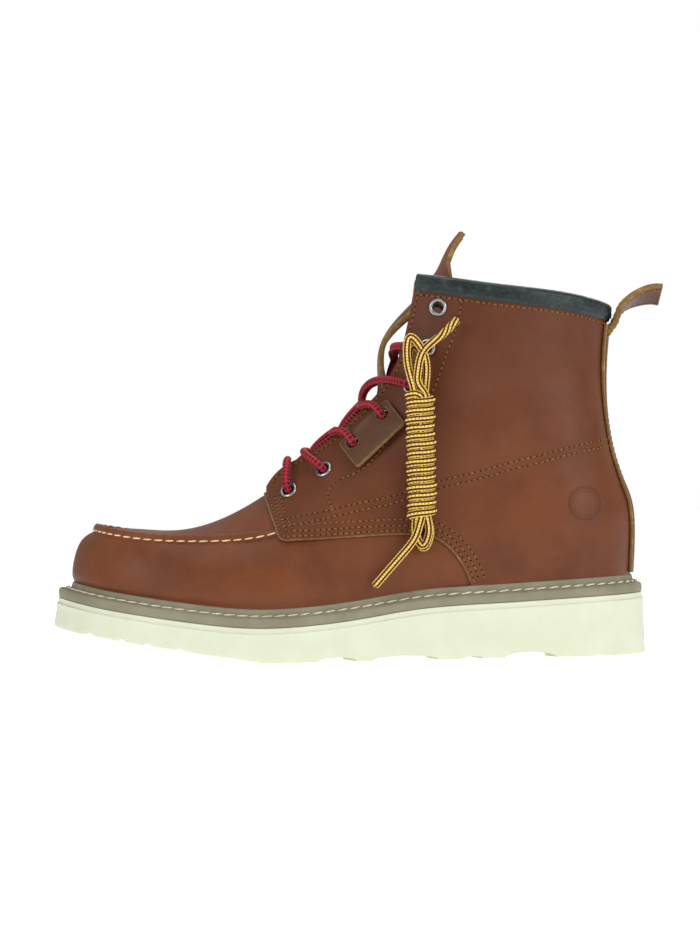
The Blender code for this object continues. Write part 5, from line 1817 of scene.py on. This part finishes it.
def make_stage():
    """A pale floor, a white background that lights the boot weakly, and four soft lamps."""
    bpy.ops.mesh.primitive_plane_add(size=24, location=(0, 0, 0))
    floor = bpy.context.object
    floor.name = "floor"
    pale = finish("pale_floor", (0.93, 0.93, 0.93), 0.6, Specular_IOR_Level=0.2)
    shader = pale.node_tree.nodes["Principled BSDF"]
    shader.inputs["Emission Color"].default_value = (1, 1, 1, 1)
    shader.inputs["Emission Strength"].default_value = 0.60
    drive(pale, "Roughness", span(pale, noise(pale, 8, 2, 0.5), 0.3, 0.7, 0.58, 0.66))
    floor.data.materials.append(pale)
    world = bpy.data.worlds.new("studio")
    bpy.context.scene.world = world
    world.use_nodes = True
    background = world.node_tree.nodes["Background"].inputs
    background["Color"].default_value = (1, 1, 1, 1)
    background["Strength"].default_value = 1.0
    ray = put(world.node_tree, "ShaderNodeLightPath").outputs["Is Camera Ray"]
    share = put(world.node_tree, "ShaderNodeMapRange", {"Value": ray, "To Min": DIM_SKY})
    world.node_tree.links.new(share.outputs[0], background["Strength"])
    bpy.context.scene.view_settings.view_transform = "Standard"
    for name, place, size, power in LAMPS:
        lamp = bpy.data.lights.new(name, "AREA")
        lamp.shape, lamp.size, lamp.energy = "DISK", size, power
        obj = in_scene(name, lamp)
        obj.location = place
        way = Vector(MIDDLE) - Vector(place)
        obj.rotation_euler = way.to_track_quat("-Z", "Y").to_euler()


def make_camera():
    camera = bpy.data.cameras.new("camera")
    camera.sensor_fit = "VERTICAL"
    camera.sensor_height = 36
    camera.lens = camera.sensor_height * -CAMERA_PLACE[1] / (PICTURE_ROWS * PIXEL)
    camera.clip_end = 20
    obj = in_scene("camera", camera)
    roll = Matrix.Rotation(math.radians(CAMERA_ROLL), 4, "Y")
    upright = Matrix.Rotation(math.pi / 2, 4, "X")
    obj.matrix_world = Matrix.Translation(CAMERA_PLACE) @ roll @ upright
    bpy.context.scene.camera = obj


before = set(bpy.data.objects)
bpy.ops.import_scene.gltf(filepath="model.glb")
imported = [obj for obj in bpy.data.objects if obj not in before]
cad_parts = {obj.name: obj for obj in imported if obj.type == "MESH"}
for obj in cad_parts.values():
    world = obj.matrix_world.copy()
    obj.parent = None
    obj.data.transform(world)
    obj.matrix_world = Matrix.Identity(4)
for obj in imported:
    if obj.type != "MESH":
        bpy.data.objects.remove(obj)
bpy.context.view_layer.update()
make_camera()

# Finishes: base, dark and light shades, or base, dark and dirt for what is moulded
LEATHER = oiled_leather(
    "oiled_leather", (0.146, 0.041, 0.012), (0.078, 0.020, 0.007), (0.205, 0.070, 0.026)
)
# the quarter's leather carries the pressed ring and painted shade towards the top and front of the shaft
QUARTER_LEATHER = oiled_leather(
    "quarter_leather", (0.136, 0.038, 0.012), (0.068, 0.018, 0.006), (0.200, 0.070, 0.027), marked_and_shaded=True
)
PATCH_LEATHER = oiled_leather(
    "patch_leather", (0.090, 0.038, 0.018), (0.056, 0.022, 0.010), (0.150, 0.070, 0.034), creased=False
)
RAW = fibrous("raw_edge", (0.225, 0.125, 0.034), (0.135, 0.068, 0.018), (0.34, 0.21, 0.070))
LINING = fibrous("lining", (0.24, 0.125, 0.052), (0.16, 0.076, 0.032), (0.34, 0.195, 0.093), 500)
BINDING = padded_leather(
    "binding_leather", (0.010, 0.021, 0.020), (0.004, 0.009, 0.009), (0.030, 0.052, 0.048)
)
TAUPE = moulded(
    "taupe_rubber", (0.232, 0.218, 0.143), (0.192, 0.176, 0.114), (0.138, 0.110, 0.070), rough=0.66
)
CREAM = moulded(
    "cream_foam", (0.60, 0.63, 0.49), (0.575, 0.60, 0.46), (0.53, 0.53, 0.40), 1300, 0.00014, 0.7, 0.14
)
INSOLE_TAN = fibrous("insole_leather", (0.42, 0.24, 0.11), (0.30, 0.16, 0.07), (0.52, 0.33, 0.17), 700)
NICKEL = plated("nickel")
CRIMSONS = [(0.0, (0.36, 0.009, 0.024)), (0.5, (0.43, 0.011, 0.030))]
RED = braid("red_lace", CRIMSONS, (0.024, 0.005, 0.008), 0.0038, 2, 0.95, 0.03)
YELLOW, MAROON = (0.90, 0.64, 0.115), (0.072, 0.011, 0.009)
STRIPES = [(0.0, YELLOW)]
for stripe in range(6):
    STRIPES += [(stripe / 6 + 0.039, MAROON), (stripe / 6 + 0.128, YELLOW)]
STRIPED = braid("striped_lace", STRIPES, MAROON, 0.0030, 3, 0.8, 0.60)
TAN_THREAD = thread("tan_thread", (0.260, 0.130, 0.042), (0.145, 0.066, 0.021))
# painted shade in the needle holes
HOLE_SHADE = thread("painted_hole_shade", (0.030, 0.010, 0.005), (0.018, 0.006, 0.003))
CREAM_THREAD = thread("cream_thread", (0.82, 0.62, 0.36), (0.60, 0.42, 0.22))
WELT_THREAD = thread("welt_thread", (0.72, 0.66, 0.48), (0.50, 0.44, 0.30))
STITCHES = stitch_tree()

make_spare_lace()
vamp = make_vamp()
quarters = make_quarters()
holes = eyelet_holes()
cut(vamp, holes, "DIFFERENCE", 50, keep=True)
cut(quarters, holes, "DIFFERENCE", 50)
on_boot(vamp, "leather", "upper")
on_boot(quarters, "leather")
make_raw_edges()
make_eyelets()
collar = make_binding()
make_backstay()
make_tongue()
loop_rows = make_pull_loop()
make_patch()
make_laces()
make_outsole()
make_welt()
make_stitches(collar, loop_rows)

for used in bpy.data.objects["insole"].material_slots:
    used.material = INSOLE_TAN

make_stage()
